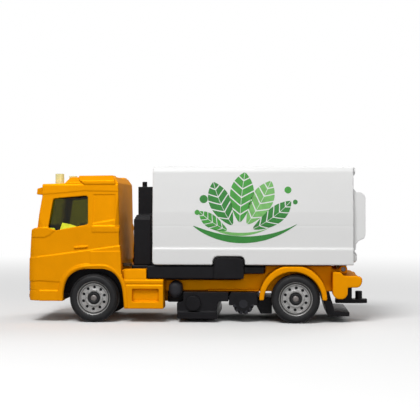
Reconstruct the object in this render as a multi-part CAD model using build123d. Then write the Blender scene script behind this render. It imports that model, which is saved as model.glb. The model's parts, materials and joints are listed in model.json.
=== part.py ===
from build123d import *
import os

# Small die-cast street sweeper truck, about 80 mm long. Millimetres.
# The front faces -Y, the truck's left side faces +X, and the wheels stand on Z = 0.

# ---- Clearances -------------------------------------------------------------------------
FIT = 0.1              # between moulded pieces that drop into one another
MOVING_GAP = 0.3       # between the container and what it swings past
BEARING_GAP = 0.05     # radial, round the turning axles and the hinge pin
FAR = 60.0             # reach of a cut that runs right past the toy

# ---- Wheels and axles -------------------------------------------------------------------
TYRE_R = 5.68
TYRE_WIDTH = 4.4
TYRE_SHOULDER = 0.55   # rounding of the tread's edges
TYRE_WALL_SET = 0.9    # tread edge above the sidewall's top
RIM_R = 3.73
RIM_SHEET = 0.5
RIM_DISH = 0.7         # how far the disc lies behind the tyre's face
RIM_HOLES = 10
RIM_HOLE_R = 0.36
RIM_HOLE_CIRCLE_R = 2.55
HUB_R = 1.33
HUB_STAND = 0.35       # how far the hub stands out of the disc
AXLE_R = 0.8
AXLE_STAND = 0.15      # how far the axle's end stands out of the hub
WHEELBASE = 47.3
FRONT_AXLE_Y = -24.6
REAR_AXLE_Y = FRONT_AXLE_Y + WHEELBASE

# ---- Cab --------------------------------------------------------------------------------
FRONT_OVERHANG = 15.6
CAB_LENGTH = 21.54
CAB_HALF_WIDTH = 13.2
WHEEL_FACE_X = CAB_HALF_WIDTH
CAB_BOTTOM_Z = 5.05
BELT_Z = 22.2          # foot of the windscreen
VISOR_Z = 29.6         # head of the windscreen
ROOF_Z = 32.5
SPOILER_Z = 34.2
ROOF_LEAN = 1.1        # how far each side leans in between belt and roof
WINDSCREEN_SET = 2.13  # windscreen foot behind the bumper face
WINDSCREEN_RAKE = 1.19
WINDSCREEN_FRAME = 2.0 # between the glass and the cab's side
VISOR_REACH = 1.7
VISOR_INSET = 2.4
VISOR_THICK = 1.4
CAB_SHEET = 1.0
CORNER_R = 2.4
DOOR_SILL_Z = 10.3
ARCH_HALF = 7.2
ARCH_RISE = 6.9        # arch head above the axle
ARCH_CORNER_R = 5.5
ARCH_LIP = 1.05
ARCH_LIP_STAND = 0.3
CAB_FRONT_Y = FRONT_AXLE_Y - FRONT_OVERHANG
CAB_REAR_Y = CAB_FRONT_Y + CAB_LENGTH
SIDE_WINDOW = (        # behind the cab's front, above the belt
    (4.85, -0.05),
    (5.95, 6.85),
    (14.15, 7.55),
    (14.3, 0.8),
    (6.7, -0.65),
)
LAMP_OUTER_X = CAB_HALF_WIDTH - 1.4
LAMP_WIDTH = 3.6
GRILLE_HALF = LAMP_OUTER_X - LAMP_WIDTH - 0.8
GRILLE_SET = 0.4       # slats behind the cab's front
GRILLE_LOW_Z = 9.8
GRILLE_TOP_Z = 19.2
GRILLE_SLATS = 5
GRILLE_SLAT = 0.9
GRILLE_SHEET = 0.5
LAMP_LOW_Z = 7.3
LAMP_TOP_Z = 9.9

# Raised areas of the cab's side: how far they stand out, then their corners as
# (behind the cab's front, height).
CAB_PLATES = (
    (0.16, ((0.2, 15.0), (2.6, 15.33), (2.6, 9.75), (0.1, 9.6))),
    (0.16, ((2.8, 15.35), (14.75, 16.93), (14.75, 9.0), (2.8, 9.8))),
    (0.16, ((14.9, 16.95), (22.0, 18.0), (22.3, 10.0), (14.9, 10.0))),
    (0.26, ((14.9, 16.6), (22.1, 16.65), (22.3, 10.0), (14.9, 10.0))),
    (0.16, ((2.8, 7.4), (9.2, 7.4), (9.2, 5.0), (2.8, 5.0))),
    (0.16, ((0.9, 22.0), (0.9, 20.0), (4.0, 19.9), (5.3, 20.55), (6.6, 21.75), (4.6, 22.2), (2.2, 22.2))),
    (0.14, ((3.3, 30.1), (6.4, 30.3), (13.3, 30.95), (21.2, 30.75), (21.2, 32.3), (3.3, 32.3))),
    (0.14, ((15.3, 21.2), (21.7, 21.2), (21.7, 22.6), (15.3, 22.6))),
    (0.34, ((11.1, 17.3), (14.2, 17.53), (14.2, 17.93), (11.1, 17.7))),
)
SPOILER_PLATE = (0.35, ((11.7, 35.5), (12.0, 33.5), (13.3, 32.45), (20.6, 32.45), (20.4, 33.6), (19.6, 35.5)))
SPOILER_INSET = 6.0    # inner edge of the roof ridge from the cab's side
SIDE_RECESS = (0.16, ((15.4, 30.0), (20.7, 30.0), (20.7, 24.1), (15.4, 23.1)))
FRONT_GROOVES = ((7.35, 7.55), (20.1, 20.3))
GROOVE_DEPTH = 0.18

# ---- Glazing and interior ---------------------------------------------------------------
GLASS = 0.8
GLASS_LOW_Z = 20.4
BEACON_R = 1.05
BEACON_X = CAB_HALF_WIDTH - 4.8
BEACON_SET = 6.7       # behind the cab's front
BEACON_TOP_Z = 35.0
TAB_OUTER_X = CAB_HALF_WIDTH - 2.2
TAB_WIDTH = 1.8
TAB_LOW_Z = 13.05
TAB_REACH = 2.6        # how far the glazing's tabs show behind the cab
FLOOR_Z = 13.7
FLOOR = 0.8
SEAT_HALF = 2.9
SEAT_X = CAB_HALF_WIDTH - 7.2
SEAT_TOP_Z = 17.6
SEAT_BACK_TOP_Z = 24.4
DASH_TOP_Z = 20.0
WHEEL_RING_R = 2.0
WHEEL_RING_TUBE_R = 0.35

# ---- Chassis ----------------------------------------------------------------------------
RAIL_OUTER_X = WHEEL_FACE_X - TYRE_WIDTH - 0.5
RAIL_INNER_X = RAIL_OUTER_X - 2.4
RAIL_LOW_Z = 7.1
RAIL_TOP_Z = 9.85
KICK_Z = 11.45         # rail top ahead of the rear axle
DECK_Z = 13.2          # rail top over the rear axle
KICK_LEAD = 12.7       # first rise of the rail ahead of the rear axle
DECK_LEAD = 7.2
DECK_TAIL = 8.6        # end of the deck behind the rear axle
WEB = 1.0
HANGER_HALF = 1.9
HANGER_LOW_Z = 4.2

# ---- Steps, tanks, fenders --------------------------------------------------------------
SIDE_X = CAB_HALF_WIDTH + 0.2      # outer face of steps and container
STEP_SET = 1.28        # behind the cab
STEP_LENGTH = 9.25
STEP_LOW_Z = 3.25
STEP_EDGE = 0.3        # slant of the step's top edge
STEP_GROOVE_Z = 8.95
STEP_GROOVE_HALF = 0.27
STEP_GROOVE_DEPTH = 0.25
STEP_TOP_Z = 10.2
STEP_RECESS_DEPTH = 0.9
STEP_RECESS = (1.95, 8.15, 4.9, 7.85)      # front and rear offset, low and top height
STEP_BLOCK_LENGTH = 4.9
STEP_BLOCK_TOP_Z = 12.48
STEP_BLOCK_SET = 0.35
STEP_NOSE = (          # curved edge round the tyre: ahead of the step's front, and height
    (0.07, STEP_TOP_Z - 0.2),
    (1.2, STEP_TOP_Z - 0.2),
    (0.68, 9.1),
    (0.26, 7.6),
    (0.04, 5.6),
)
TANK_SET = 2.65        # tank centre behind the step box
TANK_Z = 7.7
TANK_WIDTH = 3.2
TANK_HEIGHT = 3.9
TANK_END_R = 1.3
TANK_OUTER_X = SIDE_X - 1.2
FENDER_OUTER_X = SIDE_X + 0.3
FENDER_R = 7.85        # outside; its centre is level with the axle
FENDER_GAP = 1.07      # fender's inner radius over the tyre's
FENDER_SET = 0.6       # fender ahead of the axle
FENDER_DROP = 0.45     # centre of the fender's inside below the axle
FENDER_TOP_SET = 0.05  # fender's flat top below the subframe's
FENDER_FOOT_Z = 5.4

# ---- Body subframe and stack ------------------------------------------------------------
SUBFRAME_HALF = SIDE_X - 0.6
SUBFRAME_NECK_HALF = RAIL_OUTER_X + 0.5
SUBFRAME_SKIRT_Z = 10.3
SUBFRAME_TOP_Z = 13.25
SUBFRAME_SHEET = 1.0
SUBFRAME_NECK = 4.2    # reach of the narrow front part ahead of the wide part
STACK_HALF = SUBFRAME_NECK_HALF - 0.4
STACK_DEPTH = 4.1
STACK_TOP_Z = 25.2
PIPE_HALF = 3.6
PIPE_DEPTH = 3.65
PIPE_TOP_Z = 32.0
NUB_R = 0.6
NUB_SET = 2.48         # nub ahead of the pipe's rear
NUB_TOP_Z = 33.3
STACK_LEDGE = 0.25     # each ledge of the stack's top steps in by this
STACK_LEDGE_RISE = 0.5
STACK_SET = 0.9        # stack's rear ahead of the container

# ---- Container --------------------------------------------------------------------------
BODY_GAP = 7.96        # between cab and container
CONTAINER_TAIL = 13.34 # behind the rear axle
CONTAINER_TOP_Z = 36.58
CONTAINER_SHEET = 1.0
CONTAINER_CORNER_R = 0.8
CONTAINER_LOW_Z = SUBFRAME_TOP_Z + MOVING_GAP
SKIRT_Z = 17.5         # top of the lower side panel
WAIST_Z = 22.6         # groove between middle and upper side panels
PANEL_STEP = 0.25
SIDE_LEAN = 0.6        # the upper panel's lean
ROOF_ROUND = 1.3
NOTCH_SET = 14.1       # notch ahead of the container's front face
NOTCH_LENGTH = 7.55
NOTCH_RISE = 2.05
NOTCH_DEPTH = 2.6
NOTCH_CORNER_R = 1.3
DOOR_SHEET = 1.0
BULGE_INSET = 0.7
BULGE = (              # out from the container's rear end, and height
    (0.0, 31.4),
    (0.65, 30.65),
    (1.9, 30.5),
    (2.6, 29.9),
    (2.84, 29.3),
    (2.84, 20.6),
    (2.5, 19.7),
    (1.3, 19.2),
    (0.65, 18.4),
    (0.65, 17.3),
    (0.0, 16.4),
)
LATCH_R = 0.88
LATCH_Z = 15.2
HINGE_TAIL = 11.3      # hinge behind the rear axle
HINGE_Z = 12.4
HINGE_PIN_R = 0.5
HINGE_EYE_R = 0.95
LUG_WIDTH = 1.2
LUG_OUTER_X = RAIL_INNER_X - MOVING_GAP
LUG_INNER_X = LUG_OUTER_X - LUG_WIDTH

# ---- Tail and sweeping gear -------------------------------------------------------------
TAIL_HALF = SIDE_X - 0.8
TAIL_LOW_Z = 5.67
TAIL_TOP_Z = 11.95
TAIL_CHEEK = 3.45
TAIL_CORNER_R = 1.5
BUMPER_LOW_Z = 8.33
BUMPER_TOP_Z = 11.03
BUMPER_REACH = 15.3    # bumper's rear behind the rear axle
HITCH_HALF = 1.8
HITCH_LOW_Z = 3.8
HITCH_TOP_Z = 4.8
HITCH_START = 9.9      # tongue's front behind the rear axle
HITCH_REACH = 17.5
HITCH_PIN_SET = 1.95   # pin ahead of the tongue's end
HITCH_PIN_R = 0.85
HITCH_PIN_TOP_Z = 6.7
APRON_HALF = SIDE_X - 2.9
APRON_LOW_Z = 1.5
APRON_LEAD = 6.4
APRON_FOOT = 12.6
APRON_SHEET = 1.2
NOZZLE_SET = 4.52      # body of the suction nozzle behind the step box
NOZZLE_LENGTH = 8.6
NOZZLE_HALF = SIDE_X - 2.0
NOZZLE_FOOT_HALF = NOZZLE_HALF + 0.6
NOZZLE_FOOT_Z = 2.4
NOZZLE_LOW_Z = 0.9
NOZZLE_MOUTH = 1.1
NOZZLE_ROLLER_R = 1.75
NOZZLE_ROLLER_Z = 4.5
NOZZLE_ROLLER_THICK = 0.8
NOZZLE_ROLLER_SET = 2.35
NOZZLE_UNDER_TANK = 0.85
NOZZLE_BROW = 1.5      # reach of the nozzle's front under the tank
NOZZLE_ARM_Z = 4.9     # underside of the arm back to the roller's cover
ROLLER_LEAD = 12.2     # sweeping roller ahead of the rear axle
ROLLER_Z = 4.4
ROLLER_R = 2.5
COVER_HALF = SIDE_X - 2.0
COVER_CHEEK = 1.0
ROLLER_HALF = COVER_HALF - COVER_CHEEK
ROLLER_STUB_R = 0.7
COVER_SHEET = 0.6
COVER_FOOT_Z = 4.0
COVER_SLANT = 1.0
DEFLECTOR_HALF = RAIL_OUTER_X - 0.8
DEFLECTOR_REACH = 3.3  # dirt deflector behind the roller's cover
DEFLECTOR_TOP_Z = 5.5
DEFLECTOR_LOW_Z = 1.7


# ---- Shapes -----------------------------------------------------------------------------
def block(x0, x1, y0, y1, z0, z1):
    centre = Pos((x0 + x1) / 2, (y0 + y1) / 2, (z0 + z1) / 2)
    return centre * Box(x1 - x0, y1 - y0, z1 - z0)


def across(face, x0, x1):
    """Sweep a (Y, Z) face from x0 to x1."""
    return extrude(Plane.YZ.offset(x0) * face, x1 - x0, dir=(1, 0, 0))


def along(face, y0, y1):
    """Sweep an (X, Z) face from y0 to y1."""
    return extrude(Plane.XZ.offset(-y1) * face, y1 - y0, dir=(0, -1, 0))


def upward(face, z0, z1):
    """Sweep an (X, Y) face from z0 to z1."""
    return extrude(Plane.XY.offset(z0) * face, z1 - z0, dir=(0, 0, 1))


def outline(*points):
    return Polygon(*points, align=None)


def round_bar(y, z, r, x0, x1):
    return across(Pos(y, z) * Circle(r), x0, x1)


def rounded(face, radius, corners):
    """Round the corners of a face that lie at the given points."""
    chosen = [v for v in face.vertices() if any((v.center() - Vector(*c)).length < 0.01 for c in corners)]
    return fillet(chosen, radius)


def mirrored(shape):
    return mirror(shape, about=Plane.YZ)


def save(shape, name):
    export_step(shape, os.path.join("parts", name + ".step"))


# ---- Wheels -----------------------------------------------------------------------------
def turned(points, y, side):
    """Revolve (X, radius) points about the axle through y, on side +1 or -1."""
    face = Plane.XY * outline(*[(x, r) for x, r in points])
    solid = revolve(face, Axis.X, 360)
    if side < 0:
        solid = mirrored(solid)
    return Pos(0, y, TYRE_R) * solid


def make_tyre(y, side):
    outer = WHEEL_FACE_X
    inner = outer - TYRE_WIDTH
    disc = outer - RIM_DISH - RIM_SHEET
    edge = TYRE_SHOULDER
    points = (
        (inner, AXLE_R),
        (inner, RIM_R - 0.4),
        (inner + 0.2, RIM_R + 0.3),
        (inner, TYRE_R - TYRE_WALL_SET),
        (inner + edge, TYRE_R),
        (outer - edge, TYRE_R),
        (outer, TYRE_R - TYRE_WALL_SET),
        (outer - 0.1, RIM_R),
        (disc, RIM_R),
        (disc, HUB_R),
        (disc + RIM_SHEET + HUB_STAND, HUB_R),
        (disc + RIM_SHEET + HUB_STAND, AXLE_R),
    )
    return turned(points, y, side)


def make_rim(y, side):
    outer = WHEEL_FACE_X
    disc = outer - RIM_DISH - RIM_SHEET
    face = disc + RIM_SHEET
    lip = outer - 0.15
    points = (
        (disc, HUB_R),
        (disc, RIM_R),
        (lip, RIM_R),
        (lip, RIM_R - 0.18),
        (face + 0.1, RIM_R - 0.45),
        (face, RIM_R - 0.7),
        (face, HUB_R + 0.35),
        (face + 0.15, HUB_R),
    )
    rim = turned(points, y, side)
    hole = round_bar(y, TYRE_R + RIM_HOLE_CIRCLE_R, RIM_HOLE_R, side * disc, side * (outer + 1))
    axis = Axis((0, y, TYRE_R), (1, 0, 0))
    for i in range(RIM_HOLES):
        rim -= hole.rotate(axis, 360 * i / RIM_HOLES)
    return rim


def make_axle(y):
    end = WHEEL_FACE_X - RIM_DISH + HUB_STAND + AXLE_STAND
    return round_bar(y, TYRE_R, AXLE_R, -end, end)


# ---- Cab --------------------------------------------------------------------------------
def cab_side_face(inset):
    y = CAB_FRONT_Y
    rear = CAB_REAR_Y
    face = outline(
        (y + 0.3, CAB_BOTTOM_Z),
        (y, CAB_BOTTOM_Z + 0.85),
        (y + 0.36, 15.5),
        (y + 0.78, BELT_Z - 0.7),
        (y + WINDSCREEN_SET, BELT_Z),
        (y + WINDSCREEN_SET + WINDSCREEN_RAKE, VISOR_Z),
        (y + WINDSCREEN_SET + WINDSCREEN_RAKE, ROOF_Z),
        (y + 8.6, ROOF_Z + 0.15),
        (y + 9.8, SPOILER_Z - 0.1),
        (rear - 1.1, SPOILER_Z),
        (rear - 0.2, ROOF_Z + 0.2),
        (rear, BELT_Z + 0.5),
        (rear + 0.5, DOOR_SILL_Z),
        (y + 15.0, DOOR_SILL_Z),
        (y + 15.0, CAB_BOTTOM_Z),
    )
    return offset(face, amount=-inset, kind=Kind.INTERSECTION) if inset else face


def cab_plan_face(inset, front, rear, rear_cut):
    w = CAB_HALF_WIDTH - inset
    front += inset
    rear -= inset
    r = CORNER_R - inset
    face = outline(
        (-w, front),
        (w, front),
        (w, rear - rear_cut),
        (w - rear_cut, rear),
        (-w + rear_cut, rear),
        (-w, rear - rear_cut),
    )
    return rounded(face, r, ((-w, front), (w, front)))


def cab_front_face(inset):
    w = CAB_HALF_WIDTH - inset
    low = CAB_BOTTOM_Z - 10
    top = SPOILER_Z + 1 - inset
    lean = w - ROOF_LEAN
    face = outline(
        (-w, low),
        (w, low),
        (w, BELT_Z),
        (lean, ROOF_Z + 0.4 - inset),
        (lean - 1.2, SPOILER_Z - inset),
        (lean - 1.2, top),
        (-lean + 1.2, top),
        (-lean + 1.2, SPOILER_Z - inset),
        (-lean, ROOF_Z + 0.4 - inset),
        (-w, BELT_Z),
    )
    return face


def cab_solid(inset):
    """The cab's closed outer form, moved inwards by inset."""
    low = upward(cab_plan_face(inset, CAB_FRONT_Y, CAB_REAR_Y + 0.6, 0.3), 0, BELT_Z)
    high_front = CAB_FRONT_Y + WINDSCREEN_SET - 0.5
    high = upward(cab_plan_face(inset, high_front, CAB_REAR_Y + 0.1, 1.1), BELT_Z, SPOILER_Z + 1)
    solid = (low + high) & across(cab_side_face(inset), -FAR, FAR)
    return solid & along(cab_front_face(inset), CAB_FRONT_Y - 1, CAB_REAR_Y + 2)


def arch_face(grow):
    """The front wheel arch, open at the bottom."""
    half = ARCH_HALF + grow
    top = TYRE_R + ARCH_RISE + grow
    y = FRONT_AXLE_Y
    face = outline((y - half, 0), (y - half, top), (y + half, top), (y + half, 0))
    return rounded(face, ARCH_CORNER_R + grow, ((y - half, top), (y + half, top)))


def window_face():
    points = [(CAB_FRONT_Y + y, BELT_Z + z) for y, z in SIDE_WINDOW]
    return rounded(outline(*points), 0.5, points)


def windscreen_face():
    w = CAB_HALF_WIDTH - WINDSCREEN_FRAME
    low = BELT_Z + 0.7
    return outline((-w, low), (w, low), (w - 0.7, VISOR_Z - 0.4), (-w + 0.7, VISOR_Z - 0.4))


def lamp_block(gap, depth):
    return block(
        LAMP_OUTER_X - LAMP_WIDTH - gap, LAMP_OUTER_X + gap,
        CAB_FRONT_Y + 0.1, CAB_FRONT_Y + depth,
        LAMP_LOW_Z - gap, LAMP_TOP_Z + gap,
    )


def beacon_place():
    return Pos(BEACON_X, CAB_FRONT_Y + BEACON_SET, 0)


def tab_block(gap):
    """The glazing's tab that shows behind the cab."""
    return block(
        TAB_OUTER_X - TAB_WIDTH - gap, TAB_OUTER_X + gap,
        CAB_REAR_Y - CAB_SHEET - FIT - GLASS, CAB_REAR_Y + TAB_REACH + gap,
        TAB_LOW_Z - gap, TAB_LOW_Z + GLASS + gap,
    )


def placed(points):
    return outline(*[(CAB_FRONT_Y + y, z) for y, z in points])


def cab_relief():
    """Raised areas of the cab's left side."""
    outer = {}
    relief = None
    for stand, points in CAB_PLATES:
        if stand not in outer:
            outer[stand] = cab_solid(-stand)
        plate = outer[stand] & across(placed(points), CAB_HALF_WIDTH - CORNER_R, FAR)
        relief = plate if relief is None else relief + plate
    stand, points = SPOILER_PLATE
    ridge = cab_solid(-stand) & across(placed(points), CAB_HALF_WIDTH - SPOILER_INSET, FAR)
    return relief + ridge - cab_solid(CAB_SHEET / 2)


def make_cab_shell():
    shell = cab_solid(0)
    depth, points = SIDE_RECESS
    pressed = across(placed(points), CAB_HALF_WIDTH - CORNER_R, FAR) - cab_solid(depth)
    shell -= pressed
    shell -= mirrored(pressed)
    shell -= cab_solid(CAB_SHEET)
    for low, top in FRONT_GROOVES:
        slot = block(-FAR, FAR, CAB_FRONT_Y - 1, CAB_FRONT_Y + CORNER_R, low, top)
        shell -= slot - cab_solid(GROOVE_DEPTH)
    half = CAB_HALF_WIDTH - CAB_SHEET
    shell -= block(-half, half, CAB_FRONT_Y + 1.4, CAB_REAR_Y - 0.7, 0, FLOOR_Z + 0.3)
    visor_y = CAB_FRONT_Y + WINDSCREEN_SET + WINDSCREEN_RAKE
    visor = outline(
        (visor_y + 0.5, VISOR_Z + 0.2),
        (visor_y - VISOR_REACH, VISOR_Z + 0.45),
        (visor_y - VISOR_REACH + 0.15, VISOR_Z + 0.45 + VISOR_THICK),
        (visor_y + 0.5, VISOR_Z + 2.4),
    )
    visor_half = CAB_HALF_WIDTH - VISOR_INSET
    shell += across(visor, -visor_half, visor_half)
    lip = across(arch_face(ARCH_LIP), CAB_HALF_WIDTH - CAB_SHEET, CAB_HALF_WIDTH + ARCH_LIP_STAND)
    lip &= block(0, FAR, CAB_FRONT_Y, CAB_REAR_Y + 0.9, CAB_BOTTOM_Z, FAR)
    lip -= block(0, FAR, CAB_REAR_Y, CAB_REAR_Y + 2, 0, DOOR_SILL_Z)
    arch = across(arch_face(0), RAIL_OUTER_X, FAR)
    window = across(window_face(), CAB_HALF_WIDTH - 3.5, FAR)
    beacon_hole = beacon_place() * upward(Circle(BEACON_R + FIT), ROOF_Z - 3, ROOF_Z + 3)
    relief = cab_relief()
    for added in (lip, relief):
        shell += added
        shell += mirrored(added)
    lamp = lamp_block(FIT, 2.5)
    for cut in (arch, window, beacon_hole, tab_block(FIT), lamp):
        shell -= cut
        shell -= mirrored(cut)
    shell -= along(windscreen_face(), CAB_FRONT_Y, CAB_FRONT_Y + 6)
    grille = block(
        -GRILLE_HALF - FIT, GRILLE_HALF + FIT,
        CAB_FRONT_Y - 1, CAB_FRONT_Y + 2.5,
        GRILLE_LOW_Z - FIT, GRILLE_TOP_Z + FIT,
    )
    return shell - grille


def make_window_insert():
    gap = CAB_SHEET + FIT
    insert = cab_solid(gap) - cab_solid(gap + GLASS)
    insert &= block(-FAR, FAR, CAB_FRONT_Y, CAB_REAR_Y - 2.5, GLASS_LOW_Z, ROOF_Z)
    strip = block(
        TAB_OUTER_X - TAB_WIDTH, TAB_OUTER_X,
        CAB_REAR_Y - CAB_SHEET - FIT - GLASS, CAB_REAR_Y - CAB_SHEET - FIT,
        TAB_LOW_Z, GLASS_LOW_Z + 2,
    )
    link = block(
        TAB_OUTER_X - TAB_WIDTH, TAB_OUTER_X,
        CAB_REAR_Y - 3.5, CAB_REAR_Y - CAB_SHEET - FIT,
        GLASS_LOW_Z + 1.2, GLASS_LOW_Z + 2,
    )
    beacon = beacon_place() * upward(Circle(BEACON_R), ROOF_Z - 2, BEACON_TOP_Z)
    reach = block(TAB_OUTER_X - 0.5, CAB_HALF_WIDTH - gap - GLASS / 2, CAB_REAR_Y - 3.5, CAB_REAR_Y - 2.5,
                  GLASS_LOW_Z + 1.2, GLASS_LOW_Z + 2)
    for piece in (strip, link, reach, tab_block(0), beacon):
        insert += piece
        insert += mirrored(piece)
    return insert


def make_cab_interior():
    half = CAB_HALF_WIDTH - CAB_SHEET - FIT
    front = CAB_FRONT_Y + CAB_SHEET + 0.6
    rear = CAB_REAR_Y - CAB_SHEET - 2 * FIT - GLASS
    cabin = block(-half, half, front, rear, FLOOR_Z - FLOOR, FLOOR_Z)
    dash = outline(
        (front, FLOOR_Z),
        (front, DASH_TOP_Z),
        (front + 2.0, DASH_TOP_Z),
        (front + 3.2, DASH_TOP_Z - 1.2),
        (front + 2.4, FLOOR_Z),
    )
    cabin += across(dash, -half + 1.2, half - 1.2)
    seat = outline(
        (rear - 8.2, FLOOR_Z),
        (rear - 8.4, SEAT_TOP_Z),
        (rear - 2.8, SEAT_TOP_Z - 0.4),
        (rear - 1.8, SEAT_BACK_TOP_Z),
        (rear - 0.5, SEAT_BACK_TOP_Z),
        (rear - 0.9, FLOOR_Z),
    )
    cabin += across(seat, SEAT_X - SEAT_HALF, SEAT_X + SEAT_HALF)
    cabin += across(seat, -SEAT_X - SEAT_HALF, -SEAT_X + SEAT_HALF)
    cabin &= cab_solid(CAB_SHEET + FIT)
    cabin += block(-RAIL_OUTER_X, RAIL_OUTER_X, front, rear, RAIL_TOP_Z, FLOOR_Z)
    ring_centre = Vector(SEAT_X, front + 5.0, DASH_TOP_Z - 0.4)
    ring_plane = Plane(origin=ring_centre, x_dir=(1, 0, 0), z_dir=(0, 0.62, 0.78))
    cabin += ring_plane * Torus(WHEEL_RING_R, WHEEL_RING_TUBE_R)
    cabin += ring_plane * Box(2 * WHEEL_RING_R, 0.5, 0.5)
    column = Pos(0, 0, -1.5) * Cylinder(0.45, 3.0)
    cabin += ring_plane * column
    return cabin


def make_grille():
    front = CAB_FRONT_Y + GRILLE_SET
    back = CAB_FRONT_Y + CAB_SHEET + GRILLE_SHEET
    grille = block(-GRILLE_HALF, GRILLE_HALF, back - GRILLE_SHEET, back, GRILLE_LOW_Z, GRILLE_TOP_Z)
    pitch = (GRILLE_TOP_Z - GRILLE_LOW_Z - GRILLE_SLAT) / (GRILLE_SLATS - 1)
    for i in range(GRILLE_SLATS):
        z = GRILLE_LOW_Z + i * pitch
        grille += block(-GRILLE_HALF, GRILLE_HALF, front, back, z, z + GRILLE_SLAT)
    return grille


# ---- Chassis ----------------------------------------------------------------------------
def rail_face():
    return outline(
        (CAB_FRONT_Y + 1.7, RAIL_LOW_Z),
        (CAB_FRONT_Y + 1.7, RAIL_TOP_Z),
        (REAR_AXLE_Y - KICK_LEAD, RAIL_TOP_Z),
        (REAR_AXLE_Y - KICK_LEAD, KICK_Z),
        (REAR_AXLE_Y - DECK_LEAD, KICK_Z),
        (REAR_AXLE_Y - DECK_LEAD, DECK_Z),
        (REAR_AXLE_Y + DECK_TAIL, DECK_Z),
        (REAR_AXLE_Y + DECK_TAIL, HINGE_Z),
        (REAR_AXLE_Y + HINGE_TAIL + HINGE_EYE_R, HINGE_Z),
        (REAR_AXLE_Y + HINGE_TAIL + HINGE_EYE_R, BUMPER_TOP_Z + 0.3),
        (REAR_AXLE_Y + HINGE_TAIL - 0.3, BUMPER_TOP_Z + 0.3),
        (REAR_AXLE_Y + HINGE_TAIL - 0.3, RAIL_LOW_Z + 2.2),
        (REAR_AXLE_Y + DECK_TAIL, RAIL_LOW_Z),
    )


def channel_face():
    """What is open below the chassis web."""
    return outline(
        (CAB_FRONT_Y + 4, 0),
        (CAB_FRONT_Y + 4, RAIL_TOP_Z - WEB),
        (REAR_AXLE_Y - KICK_LEAD + WEB, RAIL_TOP_Z - WEB),
        (REAR_AXLE_Y - KICK_LEAD + WEB, KICK_Z - WEB),
        (REAR_AXLE_Y - DECK_LEAD + WEB, KICK_Z - WEB),
        (REAR_AXLE_Y - DECK_LEAD + WEB, DECK_Z - WEB),
        (REAR_AXLE_Y + DECK_TAIL - WEB, DECK_Z - WEB),
        (REAR_AXLE_Y + DECK_TAIL - WEB, 0),
    )


def make_chassis():
    chassis = across(rail_face(), -RAIL_OUTER_X, RAIL_OUTER_X)
    eye = round_bar(REAR_AXLE_Y + HINGE_TAIL, HINGE_Z, HINGE_EYE_R, -RAIL_OUTER_X, RAIL_OUTER_X)
    chassis += eye
    chassis -= across(channel_face(), -RAIL_INNER_X, RAIL_INNER_X)
    hinge_room = block(
        -RAIL_INNER_X, RAIL_INNER_X,
        REAR_AXLE_Y + DECK_TAIL, REAR_AXLE_Y + HINGE_TAIL + 3,
        0, CONTAINER_LOW_Z + 1,
    )
    chassis -= hinge_room
    for y in (FRONT_AXLE_Y, REAR_AXLE_Y):
        for x in (-RAIL_OUTER_X, RAIL_INNER_X):
            width = RAIL_OUTER_X - RAIL_INNER_X
            chassis += block(x, x + width, y - HANGER_HALF, y + HANGER_HALF, HANGER_LOW_Z, RAIL_LOW_Z + 0.5)
        chassis -= round_bar(y, TYRE_R, AXLE_R + BEARING_GAP, -FAR, FAR)
    chassis -= round_bar(REAR_AXLE_Y + HINGE_TAIL, HINGE_Z, HINGE_PIN_R, -FAR, FAR)
    return chassis


def step_front():
    return CAB_REAR_Y + STEP_SET


def make_step_box():
    y0 = step_front()
    y1 = y0 + STEP_LENGTH
    face = outline(
        (RAIL_OUTER_X, STEP_LOW_Z),
        (SIDE_X, STEP_LOW_Z),
        (SIDE_X, STEP_GROOVE_Z - STEP_GROOVE_HALF),
        (SIDE_X - STEP_GROOVE_DEPTH, STEP_GROOVE_Z),
        (SIDE_X, STEP_GROOVE_Z + STEP_GROOVE_HALF),
        (SIDE_X, STEP_TOP_Z - STEP_EDGE),
        (SIDE_X - STEP_EDGE, STEP_TOP_Z),
        (RAIL_OUTER_X, STEP_TOP_Z),
    )
    step = along(face, y0, y1)
    front, rear, low, top = STEP_RECESS
    step -= block(SIDE_X - STEP_RECESS_DEPTH, FAR, y0 + front, y0 + rear, low, top)
    lid = outline(
        (SUBFRAME_NECK_HALF + 0.3, STEP_TOP_Z),
        (SIDE_X - 0.1, STEP_TOP_Z),
        (SIDE_X - 0.4, STEP_BLOCK_TOP_Z),
        (SUBFRAME_NECK_HALF + 0.3, STEP_BLOCK_TOP_Z),
    )
    block_y = y0 + STEP_BLOCK_SET
    step += along(lid, block_y, block_y + STEP_BLOCK_LENGTH)
    nose = [(y0 - ahead, z) for ahead, z in STEP_NOSE]
    face = outline(
        (y0, STEP_LOW_Z),
        (block_y, STEP_LOW_Z),
        (block_y, STEP_BLOCK_TOP_Z),
        (nose[0][0], STEP_BLOCK_TOP_Z),
        *nose,
    )
    return step + across(face, SUBFRAME_NECK_HALF + 0.3, SIDE_X - STEP_EDGE)


def make_tank():
    y = step_front() + STEP_LENGTH + TANK_SET
    r = TANK_WIDTH / 2
    face = Pos(y, TANK_Z) * RectangleRounded(TANK_WIDTH, TANK_HEIGHT, r - 0.01)
    tank = across(face, RAIL_OUTER_X, TANK_OUTER_X)
    return fillet(tank.faces().sort_by(Axis.X)[-1].edges(), TANK_END_R)


def make_fender():
    y = REAR_AXLE_Y - FENDER_SET
    inside = Pos(y, TYRE_R - FENDER_DROP) * Circle(TYRE_R + FENDER_GAP)
    crescent = Pos(y, TYRE_R) * Circle(FENDER_R) - inside
    fender = across(crescent, RAIL_OUTER_X, FENDER_OUTER_X)
    keep_top = SUBFRAME_TOP_Z - FENDER_TOP_SET
    return fender & block(0, FAR, y - FAR, y + FAR, FENDER_FOOT_Z, keep_top)


# ---- Body subframe and stack ------------------------------------------------------------
def container_front():
    return CAB_REAR_Y + BODY_GAP


def subframe_front():
    return step_front() + STEP_BLOCK_SET + STEP_BLOCK_LENGTH + FIT


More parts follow.
